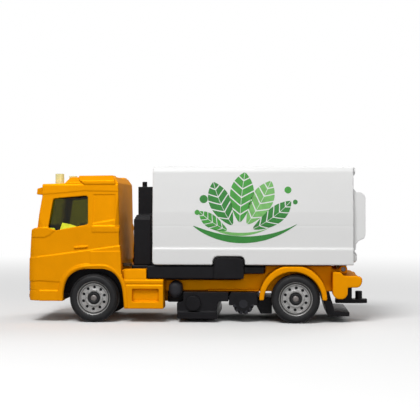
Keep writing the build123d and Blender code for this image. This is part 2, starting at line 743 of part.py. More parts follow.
def notch_face(gap):
    """The notch low in the container's side, taken in by gap."""
    y0 = container_front() + NOTCH_SET + gap
    y1 = container_front() + NOTCH_SET + NOTCH_LENGTH - gap
    top = CONTAINER_LOW_Z + NOTCH_RISE - gap
    face = outline((y0, SUBFRAME_SKIRT_Z), (y0, top), (y1, top), (y1, SUBFRAME_SKIRT_Z))
    return rounded(face, NOTCH_CORNER_R - gap / 2, ((y0, top), (y1, top)))


def make_subframe():
    y0 = subframe_front()
    y1 = REAR_AXLE_Y - KICK_LEAD - FIT
    y2 = REAR_AXLE_Y - DECK_LEAD - FIT
    half = SUBFRAME_HALF
    wide = block(-half, half, y0, y1, SUBFRAME_SKIRT_Z, SUBFRAME_TOP_Z)
    core = block(-RAIL_OUTER_X, RAIL_OUTER_X, y0 - SUBFRAME_NECK, y1, RAIL_TOP_Z, SUBFRAME_TOP_Z)
    neck = block(
        -SUBFRAME_NECK_HALF, SUBFRAME_NECK_HALF,
        y0 - SUBFRAME_NECK, y0,
        SUBFRAME_SKIRT_Z, SUBFRAME_TOP_Z,
    )
    strip = block(-half + 0.6, half - 0.6, y1, y2, KICK_Z, SUBFRAME_TOP_Z - 0.1)
    frame = wide + core + neck + strip
    sheet = SUBFRAME_SHEET
    cavity = block(
        -RAIL_OUTER_X + sheet, RAIL_OUTER_X - sheet,
        y0 + sheet, y1 - sheet,
        RAIL_TOP_Z - 1, SUBFRAME_TOP_Z - sheet,
    )
    frame -= cavity
    tab = across(notch_face(MOVING_GAP), SUBFRAME_HALF - 1.6, SIDE_X - 0.2)
    frame += tab
    return frame + mirrored(tab)


def make_stack():
    y1 = container_front() - STACK_SET
    y0 = y1 - STACK_DEPTH
    rise = STACK_LEDGE_RISE
    top = STACK_TOP_Z
    stack = block(-STACK_HALF, STACK_HALF, y0, y1, SUBFRAME_TOP_Z, top - 2 * rise)
    for step in (1, 2):
        half = STACK_HALF - step * STACK_LEDGE
        stack += block(-half, half, y0 + step * STACK_LEDGE, y1, top - 2 * rise, top - (2 - step) * rise)
    stack += block(-PIPE_HALF, PIPE_HALF, y1 - PIPE_DEPTH, y1, top, PIPE_TOP_Z)
    nub = Pos(0, y1 - NUB_SET, 0) * upward(Circle(NUB_R), PIPE_TOP_Z, NUB_TOP_Z)
    return stack + nub


# ---- Container --------------------------------------------------------------------------
def container_section(inset):
    w = SIDE_X - inset
    low = CONTAINER_LOW_Z + inset
    top = CONTAINER_TOP_Z - inset
    step = PANEL_STEP
    crown = top - ROOF_ROUND
    lean = w - step - SIDE_LEAN
    half = (
        (w, low),
        (w, SKIRT_Z - step),
        (w - step, SKIRT_Z),
        (w - step, crown - 9.5),
        (lean, crown),
        (lean - 0.35, crown + 0.9),
        (lean - ROOF_ROUND, top),
    )
    points = list(half) + [(-x, z) for x, z in reversed(half)]
    return outline(*points)


def container_rear():
    return REAR_AXLE_Y + CONTAINER_TAIL


def make_container():
    y0 = container_front()
    y1 = container_rear()
    sheet = CONTAINER_SHEET
    shell = along(container_section(0), y0, y1)
    corners = outline(
        (y0, CONTAINER_LOW_Z),
        (y0, CONTAINER_TOP_Z),
        (y1, CONTAINER_TOP_Z),
        (y1, CONTAINER_LOW_Z),
    )
    corners = rounded(corners, CONTAINER_CORNER_R, ((y0, CONTAINER_LOW_Z), (y0, CONTAINER_TOP_Z)))
    shell &= across(corners, -FAR, FAR)
    shell -= along(container_section(sheet), y0 + sheet, y1 + 1)
    notch = across(notch_face(0), SIDE_X - NOTCH_DEPTH, FAR)
    pocket = across(notch_face(-sheet), SIDE_X - NOTCH_DEPTH - sheet, SIDE_X - sheet / 2)
    pocket &= block(0, FAR, y0, y1, CONTAINER_LOW_Z, FAR)
    groove = block(SIDE_X - PANEL_STEP - 0.12, FAR, y0 - 1, y1 + 1, WAIST_Z - 0.12, WAIST_Z + 0.12)
    hinge_y = REAR_AXLE_Y + HINGE_TAIL
    lug = block(
        LUG_INNER_X, LUG_INNER_X + LUG_WIDTH,
        hinge_y - HINGE_EYE_R, hinge_y + HINGE_EYE_R,
        HINGE_Z, CONTAINER_LOW_Z + 0.5,
    )
    lug += round_bar(hinge_y, HINGE_Z, HINGE_EYE_R, LUG_INNER_X, LUG_INNER_X + LUG_WIDTH)
    for piece in (pocket, lug):
        shell += piece
        shell += mirrored(piece)
    for cut in (notch, groove):
        shell -= cut
        shell -= mirrored(cut)
    return shell - round_bar(hinge_y, HINGE_Z, HINGE_PIN_R + BEARING_GAP, -FAR, FAR)


def make_rear_door():
    y = container_rear()
    plug = along(container_section(CONTAINER_SHEET + FIT), y - DOOR_SHEET, y)
    bulge_points = [(y + out, z) for out, z in BULGE]
    half = SIDE_X - PANEL_STEP - SIDE_LEAN - BULGE_INSET
    door = plug + across(outline(*bulge_points), -half, half)
    hollow = offset(outline(*bulge_points), amount=-DOOR_SHEET, kind=Kind.INTERSECTION)
    door -= across(hollow, -half + DOOR_SHEET, half - DOOR_SHEET)
    door += round_bar(y, LATCH_Z, LATCH_R, -half, half) & block(-FAR, FAR, y, y + FAR, 0, FAR)
    lip = block(-half, half, y, y + 0.45, CONTAINER_TOP_Z - 1.5, CONTAINER_TOP_Z - 0.3)
    return door + lip


def make_hinge_pin():
    return round_bar(REAR_AXLE_Y + HINGE_TAIL, HINGE_Z, HINGE_PIN_R, -RAIL_OUTER_X, RAIL_OUTER_X)


# ---- Tail and sweeping gear -------------------------------------------------------------
def make_rear_bumper():
    y0 = REAR_AXLE_Y + DECK_TAIL
    y1 = y0 + TAIL_CHEEK
    end = REAR_AXLE_Y + BUMPER_REACH
    r = (BUMPER_TOP_Z - BUMPER_LOW_Z) / 2 - 0.01
    cheek = outline(
        (y0, TAIL_LOW_Z),
        (y0, TAIL_TOP_Z),
        (y0 + 1.7, TAIL_TOP_Z),
        (y0 + 2.6, BUMPER_TOP_Z),
        (y1, BUMPER_TOP_Z),
        (y1, TAIL_LOW_Z),
    )
    cheek = rounded(cheek, TAIL_CORNER_R, ((y0, TAIL_LOW_Z), (y1, TAIL_LOW_Z)))
    bar = outline(
        (y0 + 2.75, BUMPER_LOW_Z),
        (y0 + 2.75, BUMPER_TOP_Z),
        (end, BUMPER_TOP_Z),
        (end, BUMPER_LOW_Z),
    )
    bar = rounded(bar, r, ((end, BUMPER_TOP_Z), (end, BUMPER_LOW_Z)))
    bumper = across(bar, -TAIL_HALF, TAIL_HALF)
    side = across(cheek, RAIL_OUTER_X, TAIL_HALF)
    return bumper + side + mirrored(side)


def make_hitch():
    y0 = REAR_AXLE_Y + HITCH_START
    end = REAR_AXLE_Y + HITCH_REACH
    pin_y = end - HITCH_PIN_SET
    tongue = upward(outline(
        (-HITCH_HALF, y0),
        (HITCH_HALF, y0),
        (HITCH_HALF, pin_y),
        (HITCH_HALF - 0.7, end),
        (-HITCH_HALF + 0.7, end),
        (-HITCH_HALF, pin_y),
    ), HITCH_LOW_Z, HITCH_TOP_Z)
    leg = block(-HITCH_HALF, HITCH_HALF, y0 + 1.9, y0 + 3.9, HITCH_LOW_Z, BUMPER_LOW_Z)
    pin = Pos(0, pin_y, 0) * upward(Circle(HITCH_PIN_R), HITCH_LOW_Z, HITCH_PIN_TOP_Z)
    return tongue + leg + pin


def make_apron():
    y0 = REAR_AXLE_Y + APRON_LEAD
    foot = REAR_AXLE_Y + APRON_FOOT
    plate = outline(
        (y0, RAIL_LOW_Z),
        (y0 + 1.6, RAIL_LOW_Z),
        (y0 + 2.7, APRON_LOW_Z + APRON_SHEET),
        (foot, APRON_LOW_Z + APRON_SHEET - 0.2),
        (foot, APRON_LOW_Z),
        (y0 + 1.2, APRON_LOW_Z),
        (y0, RAIL_LOW_Z - 1.5),
    )
    apron = across(plate, -APRON_HALF, APRON_HALF)
    for side in (-1, 1):
        beside_rail = sorted((side * (RAIL_OUTER_X - FIT), side * FAR))
        apron -= block(*beside_rail, y0 - 1, foot + 1, FENDER_FOOT_Z - MOVING_GAP, FAR)
    return apron


def nozzle_front():
    return step_front() + STEP_LENGTH + NOZZLE_SET


def make_nozzle():
    y0 = nozzle_front()
    y1 = y0 + NOZZLE_LENGTH
    under_tank = TANK_Z - TANK_HEIGHT / 2 - NOZZLE_UNDER_TANK
    arm_end = roller_cover_front() - FIT
    body = outline(
        (y0, RAIL_LOW_Z),
        (y0, under_tank),
        (y0 - NOZZLE_BROW, under_tank - 0.4),
        (y0 - NOZZLE_BROW, NOZZLE_FOOT_Z),
        (y1 - 0.8, NOZZLE_FOOT_Z),
        (y1 - 0.4, NOZZLE_ARM_Z),
        (arm_end, NOZZLE_ARM_Z),
        (arm_end, RAIL_LOW_Z),
    )
    nozzle = across(body, -NOZZLE_HALF, NOZZLE_HALF)
    half = NOZZLE_FOOT_HALF
    nozzle += block(-half, half, y0 - 1.4, y1 - 0.6, NOZZLE_LOW_Z, NOZZLE_FOOT_Z)
    nozzle -= block(-half + 1, half - 1, y0 - 0.4, y1 - 1.6, 0, NOZZLE_LOW_Z + NOZZLE_MOUTH)
    return nozzle


def make_nozzle_roller():
    y = nozzle_front() + NOZZLE_ROLLER_SET
    return round_bar(y, NOZZLE_ROLLER_Z, NOZZLE_ROLLER_R, NOZZLE_HALF, NOZZLE_HALF + NOZZLE_ROLLER_THICK)


def roller_y():
    return REAR_AXLE_Y - ROLLER_LEAD


def roller_cover_front():
    return roller_y() - ROLLER_R - MOVING_GAP - COVER_SHEET


def make_roller():
    y = roller_y()
    roller = round_bar(y, ROLLER_Z, ROLLER_R, -ROLLER_HALF, ROLLER_HALF)
    return roller + round_bar(y, ROLLER_Z, ROLLER_STUB_R, -COVER_HALF, COVER_HALF)


def make_roller_cover():
    y = roller_y()
    r = ROLLER_R + MOVING_GAP
    rear = y + r + COVER_SHEET
    hood = outline(
        (roller_cover_front(), COVER_FOOT_Z),
        (roller_cover_front(), RAIL_LOW_Z - COVER_SLANT),
        (y - r, RAIL_LOW_Z),
        (y + r, RAIL_LOW_Z),
        (rear, RAIL_LOW_Z - COVER_SLANT),
        (rear, COVER_FOOT_Z),
    )
    deflector = outline(
        (rear - COVER_SHEET, DEFLECTOR_TOP_Z),
        (rear + DEFLECTOR_REACH, DEFLECTOR_TOP_Z),
        (rear + DEFLECTOR_REACH, DEFLECTOR_LOW_Z),
        (rear + COVER_SHEET, DEFLECTOR_LOW_Z),
        (rear - COVER_SHEET, COVER_FOOT_Z),
    )
    cover = across(hood, -COVER_HALF, COVER_HALF)
    cover += across(deflector, -DEFLECTOR_HALF, DEFLECTOR_HALF)
    cheek = across(Pos(y, ROLLER_Z) * Circle(ROLLER_R - 0.4), ROLLER_HALF + FIT, COVER_HALF)
    cover += cheek
    cover += mirrored(cheek)
    space = across(Pos(y, ROLLER_Z) * Circle(r), -ROLLER_HALF - FIT, ROLLER_HALF + FIT)
    cover -= space
    cover -= block(-ROLLER_HALF - FIT, ROLLER_HALF + FIT, y - r, y + r, 0, ROLLER_Z)
    return cover - round_bar(y, ROLLER_Z, ROLLER_STUB_R, -FAR, FAR)


# ---- Files ------------------------------------------------------------------------------
def main():
    os.makedirs("parts", exist_ok=True)
    save(make_cab_shell(), "cab_shell")
    save(make_window_insert(), "window_insert")
    save(make_cab_interior(), "cab_interior")
    save(make_grille(), "front_grille")
    save(make_chassis(), "chassis_frame")
    save(make_subframe(), "body_subframe")
    save(make_stack(), "intake_stack")
    save(make_container(), "container_shell")
    save(make_rear_door(), "rear_door")
    save(make_hinge_pin(), "container_hinge_pin")
    save(make_rear_bumper(), "rear_bumper")
    save(make_hitch(), "tow_hitch")
    save(make_apron(), "rear_apron")
    save(make_nozzle(), "suction_nozzle")
    save(make_roller(), "sweeping_roller")
    save(make_roller_cover(), "roller_cover")
    sided = {
        "headlamp": lamp_block(0, CAB_SHEET),
        "step_box": make_step_box(),
        "tank": make_tank(),
        "rear_fender": make_fender(),
        "nozzle_roller": make_nozzle_roller(),
    }
    for name, piece in sided.items():
        save(piece, name + "_left")
        save(mirrored(piece), name + "_right")
    for row, y in (("front", FRONT_AXLE_Y), ("rear", REAR_AXLE_Y)):
        save(make_axle(y), row + "_axle")
        for hand, side in (("left", 1), ("right", -1)):
            save(make_tyre(y, side), row + "_tyre_" + hand)
            save(make_rim(y, side), row + "_rim_" + hand)


main()
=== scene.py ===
import json
import math

import bmesh
import bpy
from mathutils import Matrix, Vector


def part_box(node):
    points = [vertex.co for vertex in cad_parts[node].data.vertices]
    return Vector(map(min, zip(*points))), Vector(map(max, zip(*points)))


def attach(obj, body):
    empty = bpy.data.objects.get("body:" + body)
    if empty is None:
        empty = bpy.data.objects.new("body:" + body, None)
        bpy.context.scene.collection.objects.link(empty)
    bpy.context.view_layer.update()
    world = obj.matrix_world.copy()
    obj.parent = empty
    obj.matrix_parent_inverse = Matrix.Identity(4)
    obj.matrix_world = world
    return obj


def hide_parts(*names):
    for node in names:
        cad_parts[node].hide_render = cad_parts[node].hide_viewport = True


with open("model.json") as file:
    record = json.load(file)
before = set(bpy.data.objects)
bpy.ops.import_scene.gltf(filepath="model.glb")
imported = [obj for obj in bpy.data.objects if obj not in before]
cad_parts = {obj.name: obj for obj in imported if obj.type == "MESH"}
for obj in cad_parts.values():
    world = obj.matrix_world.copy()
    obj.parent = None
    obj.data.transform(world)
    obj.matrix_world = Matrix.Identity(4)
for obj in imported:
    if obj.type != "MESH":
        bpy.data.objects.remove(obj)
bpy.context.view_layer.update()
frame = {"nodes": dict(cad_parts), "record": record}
nodes = frame["nodes"]
MM = 0.001
SIDES = (("left", 1), ("right", -1))
CRISP_ANGLE = math.radians(35)    # edges sharper than this aren't shaded smooth
FLAT = 0.01            # two faces that meet at less than this, in radians, lie in one plane
WELD_REACH = 0.001     # loose corners of a solid this near, in millimetres, are one
DOUBLE_REACH = 0.0005  # corners of a new piece this near, in millimetres, are one

# ---- Colours, as light reflected ---------------------------------------------------------
ORANGE = (0.84, 0.31, 0.002)
# Painted shade: the enamel's colour deep in creases and corners.
ORANGE_PAINTED_SHADE = (0.40, 0.10, 0.001)
WHITE = (0.80, 0.80, 0.795)
BLACK = (0.0065, 0.0062, 0.0075)
DARK_GREY = (0.022, 0.022, 0.026)
TYRE_BLACK = (0.012, 0.012, 0.013)
SILVER = (0.33, 0.325, 0.32)
STEEL = (0.17, 0.155, 0.15)
GLAZING = (0.22, 0.22, 0.014)
GLAZING_LIGHT = (0.92, 0.88, 0.40)
FLUORESCENT = (0.72, 0.80, 0.02)
LENS = (0.86, 0.89, 0.9)
# The hollow and ridge colours are painted shade in the ribs' hollows and a painted highlight on
# their ridges.
LENS_SHADED_HOLLOW = (0.72, 0.75, 0.77)
LENS_LIT_RIDGE = (0.9, 0.92, 0.93)
# The roof lamps are painted in this paler colour, a painted glow.
BEACON = (0.86, 0.82, 0.42)
BEACON_CLEARNESS = 0.3
BEACON_FOOT = (31.9, 32.6)        # millimetres up, between which the glazing turns cloudy and takes the painted glow
PRINT_NAMES = ("dark", "mid", "light")
PANEL_GROOVE_Z = 22.6             # millimetres up
PANEL_GROOVE_REACH = (0.08, 0.2)  # millimetres from it, between which the painted groove shade fades out
LEAF_GREENS = ((0.014, 0.19, 0.018), (0.045, 0.30, 0.034), (0.17, 0.46, 0.12))


# ---- Node helpers ------------------------------------------------------------------------
class Finish:
    """A material and the few nodes that its colour, roughness and bump come from."""

    def __init__(self, name, colour, roughness, **sockets):
        self.material = bpy.data.materials.new(name)
        self.material.use_nodes = True
        self.tree = self.material.node_tree
        self.shader = self.tree.nodes["Principled BSDF"]
        self.shader.inputs["Base Color"].default_value = (*colour, 1)
        self.shader.inputs["Roughness"].default_value = roughness
        for socket, value in sockets.items():
            self.shader.inputs[socket.replace("_", " ")].default_value = value
        self.place = self.add("TexCoord").outputs["Object"]

    def add(self, kind, **settings):
        node = self.tree.nodes.new("ShaderNode" + kind)
        for name, value in settings.items():
            setattr(node, name, value)
        return node

    def link(self, source, target):
        self.tree.links.new(source, target)

    def stretched(self, scale):
        mapping = self.add("Mapping")
        mapping.inputs["Scale"].default_value = scale
        self.link(self.place, mapping.inputs["Vector"])
        return mapping.outputs["Vector"]

    def noise(self, size_mm, detail=2.0, place=None):
        """Cloudy noise whose lumps are about size_mm across."""
        node = self.add("TexNoise")
        node.inputs["Scale"].default_value = 1 / (size_mm * MM)
        node.inputs["Detail"].default_value = detail
        self.link(place or self.place, node.inputs["Vector"])
        return node.outputs["Fac"]

    def cells(self, size_mm):
        node = self.add("TexVoronoi")
        node.inputs["Scale"].default_value = 1 / (size_mm * MM)
        self.link(self.place, node.inputs["Vector"])
        return node.outputs["Distance"]

    def spread(self, source, low, high, from_low=0.3, from_high=0.7):
        """source stretched from from_low..from_high to low..high."""
        node = self.add("MapRange")
        self.link(source, node.inputs["Value"])
        ends = {"From Min": from_low, "From Max": from_high, "To Min": low, "To Max": high}
        for name, value in ends.items():
            node.inputs[name].default_value = value
        return node.outputs["Result"]

    def blend(self, factor, first, second):
        """A colour between first and second, each a colour or another node's output."""
        node = self.add("Mix", data_type="RGBA")
        self.link(factor, node.inputs[0])
        for socket, colour in ((node.inputs[6], first), (node.inputs[7], second)):
            if isinstance(colour, tuple):
                socket.default_value = (*colour, 1)
            else:
                self.link(colour, socket)
        return node.outputs[2]

    def corners(self, reach_mm):
        """0 deep in a corner, 1 out in the open; painted shade follows this mask."""
        node = self.add("AmbientOcclusion", samples=8)
        node.inputs["Distance"].default_value = reach_mm * MM
        return node.outputs["AO"]

    def paint(self, colour):
        self.link(colour, self.shader.inputs["Base Color"])

    def rough(self, source):
        self.link(source, self.shader.inputs["Roughness"])

    def bumps(self, *heights):
        """heights are (source, depth in mm), laid one over another."""
        normal = None
        for source, depth in heights:
            node = self.add("Bump")
            node.inputs["Distance"].default_value = depth * MM
            self.link(source, node.inputs["Height"])
            if normal is not None:
                self.link(normal, node.inputs["Normal"])
            normal = node.outputs["Normal"]
        self.link(normal, self.shader.inputs["Normal"])


def shade(colour, factor):
    return tuple(min(1.0, part * factor) for part in colour)


# ---- Finishes ----------------------------------------------------------------------------
def orange_enamel():
    paint = Finish(
        "orange enamel", ORANGE, 0.36, Metallic=0.14, Specular_IOR_Level=0.0,
    )
    clouds = paint.noise(5.0, 3)
    body = paint.blend(paint.spread(clouds, 0, 1), shade(ORANGE, 0.955), shade(ORANGE, 1.04))
    # Painted shade: the enamel darkens towards this colour in corners and creases.
    corner_shade = paint.spread(paint.corners(0.8), 0, 1, 0.35, 0.85)
    paint.paint(paint.blend(corner_shade, ORANGE_PAINTED_SHADE, body))
    paint.rough(paint.spread(paint.noise(1.6), 0.31, 0.40))
    paint.bumps((paint.noise(1.3, 2), 0.012), (paint.noise(0.25, 1), 0.0015))
    return paint.material


def white_plastic():
    plastic = Finish("white moulded plastic", WHITE, 0.38, Specular_IOR_Level=0.3)
    flow = plastic.noise(9.0, 2, plastic.stretched((1, 0.25, 1)))
    body = plastic.blend(plastic.spread(flow, 0, 1), shade(WHITE, 0.982), shade(WHITE, 1.012))
    # Painted shade: the white darkens in corners and creases.
    corner_shade = plastic.spread(plastic.corners(0.6), 0, 1, 0.3, 0.85)
    plastic.paint(plastic.blend(corner_shade, shade(WHITE, 0.84), body))
    plastic.rough(plastic.spread(plastic.noise(2.2), 0.33, 0.43))
    plastic.bumps((plastic.noise(0.16, 2), 0.0016), (plastic.noise(7.0, 1), 0.02))
    return plastic.material


def moulded(name, colour, roughness, grain_mm):
    """Fine-grained black or grey plastic in a cloudy tone, with painted shade darkening its
    corners.
    """
    plastic = Finish(name, colour, roughness, Specular_IOR_Level=0.11)
    clouds = plastic.noise(3.5, 3)
    body = plastic.blend(plastic.spread(clouds, 0, 1), shade(colour, 0.8), shade(colour, 1.3))
    # Painted shade: the plastic darkens in corners and creases.
    corner_shade = plastic.spread(plastic.corners(0.8), 0, 1, 0.3, 0.85)
    plastic.paint(plastic.blend(corner_shade, shade(colour, 0.45), body))
    plastic.rough(plastic.spread(plastic.noise(0.9), roughness - 0.06, roughness + 0.07))
    plastic.bumps((plastic.cells(grain_mm), 0.006), (plastic.noise(grain_mm * 5, 2), 0.008))
    return plastic.material


def tyre_plastic():
    plastic = Finish("tyre plastic", TYRE_BLACK, 0.5, Specular_IOR_Level=0.2)
    clouds = plastic.spread(plastic.noise(1.8, 3), 0, 1)
    plastic.paint(plastic.blend(clouds, shade(TYRE_BLACK, 0.75), shade(TYRE_BLACK, 1.4)))
    plastic.rough(plastic.spread(plastic.noise(0.5), 0.44, 0.58))
    plastic.bumps((plastic.noise(0.12, 2), 0.004))
    return plastic.material


def silver_paint():
    paint = Finish("silver paint", SILVER, 0.36, Metallic=0.45)
    flakes = paint.spread(paint.noise(0.18, 2), 0, 1)
    body = paint.blend(flakes, shade(SILVER, 0.8), shade(SILVER, 1.16))
    # Painted shade: the silver darkens in corners and hollows.
    corner_shade = paint.spread(paint.corners(0.35), 0, 1, 0.3, 0.9)
    paint.paint(paint.blend(corner_shade, shade(SILVER, 0.22), body))
    paint.rough(paint.spread(paint.noise(0.3), 0.30, 0.44))
    paint.bumps((paint.noise(0.22, 2), 0.005))
    return paint.material


def steel_wire():
    steel = Finish("drawn steel", STEEL, 0.32, Metallic=1.0)
    streaks = steel.noise(0.35, 3, steel.stretched((0.08, 1, 1)))
    steel.paint(steel.blend(steel.spread(streaks, 0, 1), shade(STEEL, 0.72), shade(STEEL, 1.1)))
    steel.rough(steel.spread(streaks, 0.42, 0.56))
    steel.bumps((streaks, 0.004))
    return steel.material


def glazing_plastic():
    """Tinted clear plastic, clouded in the lamps that stand on the roof and painted paler there as
    a painted glow.
    """
    clear = Finish("fluorescent glazing", GLAZING, 0.07, Transmission_Weight=1.0, IOR=1.3)
    height = clear.add("SeparateXYZ")
    clear.link(clear.place, height.inputs["Vector"])
    foot = [z * MM for z in BEACON_FOOT]
    lamp = clear.spread(height.outputs["Z"], 0, 1, *foot)
    # Painted glow: the roof lamps turn paler above the foot.
    clear.paint(clear.blend(lamp, GLAZING, BEACON))
    clouded = clear.spread(height.outputs["Z"], 1, BEACON_CLEARNESS, *foot)
    clear.link(clouded, clear.shader.inputs["Transmission Weight"])
    clear.rough(clear.spread(clear.noise(1.5), 0.05, 0.1))
    clear.bumps((clear.noise(2.5, 1), 0.01))
    path = clear.add("LightPath")
    light = clear.add("Math", operation="MAXIMUM")
    clear.link(path.outputs["Is Shadow Ray"], light.inputs[0])
    clear.link(path.outputs["Is Diffuse Ray"], light.inputs[1])
    open_way = clear.add("BsdfTransparent")
    open_way.inputs["Color"].default_value = (*GLAZING_LIGHT, 1)
    mix = clear.add("MixShader")
    clear.link(light.outputs[0], mix.inputs[0])
    clear.link(clear.shader.outputs[0], mix.inputs[1])
    clear.link(open_way.outputs[0], mix.inputs[2])
    clear.link(mix.outputs[0], clear.tree.nodes["Material Output"].inputs["Surface"])
    return clear.material


def fluorescent_edge():
    # The emission is a painted glow; this plastic is no lamp.
    edge = Finish(
        "fluorescent edge", FLUORESCENT, 0.3,
        Emission_Color=(*FLUORESCENT, 1), Emission_Strength=0.12,
    )
    edge.paint(edge.blend(edge.spread(edge.noise(0.8), 0, 1), shade(FLUORESCENT, 0.8), FLUORESCENT))
    edge.bumps((edge.noise(0.6, 2), 0.01))
    return edge.material


def lamp_lens():
    lens = Finish("lamp lens", LENS, 0.08, Transmission_Weight=0.85, IOR=1.49)
    ribs = lens.add("TexWave", bands_direction="X")
    ribs.inputs["Scale"].default_value = 1 / (1.4 * MM)
    lens.link(lens.place, ribs.inputs["Vector"])
    lens.bumps((ribs.outputs["Fac"], 0.03))
    # Painted shade in the ribs' hollows, painted highlight on their ridges.
    lens.paint(lens.blend(ribs.outputs["Fac"], LENS_SHADED_HOLLOW, LENS_LIT_RIDGE))
    return lens.material


def leaf_ink(index):
    """Printed ink, with painted shade darkening it where the panel's groove runs under it."""
    colour = LEAF_GREENS[index]
    ink = Finish("leaf ink %d" % (index + 1), colour, 0.42)
    cloud = ink.blend(ink.spread(ink.noise(0.9, 3), 0, 1), shade(colour, 0.88), shade(colour, 1.14))
    height = ink.add("SeparateXYZ")
    ink.link(ink.place, height.inputs["Vector"])
    offset = ink.add("Math", operation="SUBTRACT")
    offset.inputs[1].default_value = PANEL_GROOVE_Z * MM
    ink.link(height.outputs["Z"], offset.inputs[0])
    away = ink.add("Math", operation="ABSOLUTE")
    ink.link(offset.outputs[0], away.inputs[0])
    # Painted shade: the ink darkens along the panel's groove.
    groove_shade = ink.spread(away.outputs[0], 1, 0, *[reach * MM for reach in PANEL_GROOVE_REACH])
    ink.paint(ink.blend(groove_shade, cloud, shade(colour, 0.62)))
    ink.rough(ink.spread(ink.noise(0.4), 0.36, 0.5))
    ink.bumps((ink.noise(0.15, 2), 0.002))
    return ink.material


enamel = orange_enamel()
body_white = white_plastic()
black = moulded("black moulded plastic", BLACK, 0.42, 0.14)
dark_grey = moulded("dark grey moulded plastic", DARK_GREY, 0.46, 0.16)
tyre_black = tyre_plastic()
silver = silver_paint()
steel = steel_wire()
glazing = glazing_plastic()
edge_glow = fluorescent_edge()
lens = lamp_lens()
inks = [leaf_ink(i) for i in range(len(LEAF_GREENS))]
finish_of_slot = {
    "orange_paint": enamel,
    "white_plastic": body_white,
    "black_plastic": black,
    "dark_grey_plastic": dark_grey,
    "yellow_glazing": glazing,
    "clear_lens": lens,
    "steel": steel,
    "black_tyre": tyre_black,
    "silver_rim": silver,
}


# ---- Carried-over nodes ------------------------------------------------------------------
def dress(obj, material):
    obj.data.materials.clear()
    obj.data.materials.append(material)


def smooth_group():
    """Shades a mesh smooth, with its sharper edges kept crisp."""
    group = bpy.data.node_groups.new("smooth with crisp edges", "GeometryNodeTree")
    group.interface.new_socket("Geometry", in_out="INPUT", socket_type="NodeSocketGeometry")
    group.interface.new_socket("Geometry", in_out="OUTPUT", socket_type="NodeSocketGeometry")
    start = group.nodes.new("NodeGroupInput")
    end = group.nodes.new("NodeGroupOutput")
    faces = group.nodes.new("GeometryNodeSetShadeSmooth")
    edges = group.nodes.new("GeometryNodeSetShadeSmooth")
    edges.domain = "EDGE"
    edges.inputs["Shade Smooth"].default_value = False
    angle = group.nodes.new("GeometryNodeInputMeshEdgeAngle")
    crisp = group.nodes.new("FunctionNodeCompare")
    crisp.inputs["B"].default_value = CRISP_ANGLE
    group.links.new(angle.outputs["Unsigned Angle"], crisp.inputs["A"])
    group.links.new(start.outputs[0], faces.inputs["Geometry"])
    group.links.new(faces.outputs["Geometry"], edges.inputs["Geometry"])
    group.links.new(crisp.outputs["Result"], edges.inputs["Selection"])
    group.links.new(edges.outputs["Geometry"], end.inputs[0])
    return group


def weld(obj):
    joined = obj.modifiers.new("joined", "WELD")
    joined.merge_threshold = WELD_REACH * MM


def crisp_node(name):
    """Smooth shading for a node whose edges stay sharp."""
    weld(nodes[name])
    nodes[name].modifiers.new("shading", "NODES").node_group = smoothing


def cast(name, voxel_mm, rounds, keep):
    """Rounds every edge of a node a little, as paint and a worn mould do.

    rounds is how often it is smoothed, and keep the share of its faces that is left.
    """
    obj = nodes[name]
    weld(obj)
    skin = obj.modifiers.new("skin", "REMESH")
    skin.mode = "VOXEL"
    skin.voxel_size = voxel_mm * MM
    skin.use_smooth_shade = True
    soft = obj.modifiers.new("soft", "SMOOTH")
    soft.iterations = rounds
    soft.factor = 0.5
    thin = obj.modifiers.new("thin", "DECIMATE")
    thin.ratio = keep


for part in frame["record"]["subparts"]:
    dress(nodes[part["node"]], finish_of_slot[part["material_slot"]])

smoothing = smooth_group()
for name in ("window_insert", "front_grille", "cab_interior", "container_hinge_pin"):
    crisp_node(name)
for name, voxel_mm, rounds, keep in (
    ("cab_shell", 0.12, 3, 0.27),
    ("container_shell", 0.18, 3, 0.3),
    ("rear_door", 0.15, 3, 0.3),
    ("chassis_frame", 0.16, 3, 0.25),
    ("body_subframe", 0.15, 14, 0.25),
    ("intake_stack", 0.13, 2, 0.3),
    ("rear_bumper", 0.13, 4, 0.3),
    ("rear_apron", 0.15, 2, 0.3),
    ("tow_hitch", 0.12, 3, 0.3),
    ("suction_nozzle", 0.15, 3, 0.3),
    ("roller_cover", 0.15, 3, 0.3),
):
    cast(name, voxel_mm, rounds, keep)
for side, _ in SIDES:
    cast("step_box_" + side, 0.11, 8, 0.35)
    cast("rear_fender_" + side, 0.12, 30, 0.35)
    cast("tank_" + side, 0.1, 2, 0.4)
    cast("nozzle_roller_" + side, 0.09, 3, 0.4)
    cast("headlamp_" + side, 0.09, 2, 0.4)


# ---- Making a piece ----------------------------------------------------------------------
def finished(name, bm, materials, body, replaced=()):
    """A closed bmesh made an object that rides on its body."""
    bmesh.ops.remove_doubles(bm, verts=bm.verts, dist=DOUBLE_REACH * MM)
    bmesh.ops.recalc_face_normals(bm, faces=bm.faces)
    mesh = bpy.data.meshes.new(name)
    bm.to_mesh(mesh)
    bm.free()
    mesh.shade_smooth()
    mesh.set_sharp_from_angle(angle=CRISP_ANGLE)
    for material in materials:
        mesh.materials.append(material)
    obj = bpy.data.objects.new(name, mesh)
    bpy.context.scene.collection.objects.link(obj)
    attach(obj, body)
    if replaced:
        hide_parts(*replaced)
    return obj


def spun(bm, profile, steps, closed=True):
    """Spins an (across, radius) outline, in millimetres, round the X axis.

    One that isn't closed has its two ends on the axis.
    """
    verts = [bm.verts.new((x * MM, 0, r * MM)) for x, r in profile]
    following = verts[1:] + verts[:1] if closed else verts[1:]
    edges = [bm.edges.new(pair) for pair in zip(verts, following)]
    bmesh.ops.spin(
        bm, geom=verts + edges, cent=(0, 0, 0), axis=(1, 0, 0), dvec=(0, 0, 0),
        angle=2 * math.pi, steps=steps, use_merge=True, use_duplicate=False,
    )


def settle(bm, place_mm, side):
    """Turns a left-hand shape to its own side and puts it in place."""
    bmesh.ops.scale(bm, vec=(side, 1, 1), verts=bm.verts)
    bmesh.ops.translate(bm, vec=Vector(place_mm) * MM, verts=bm.verts)


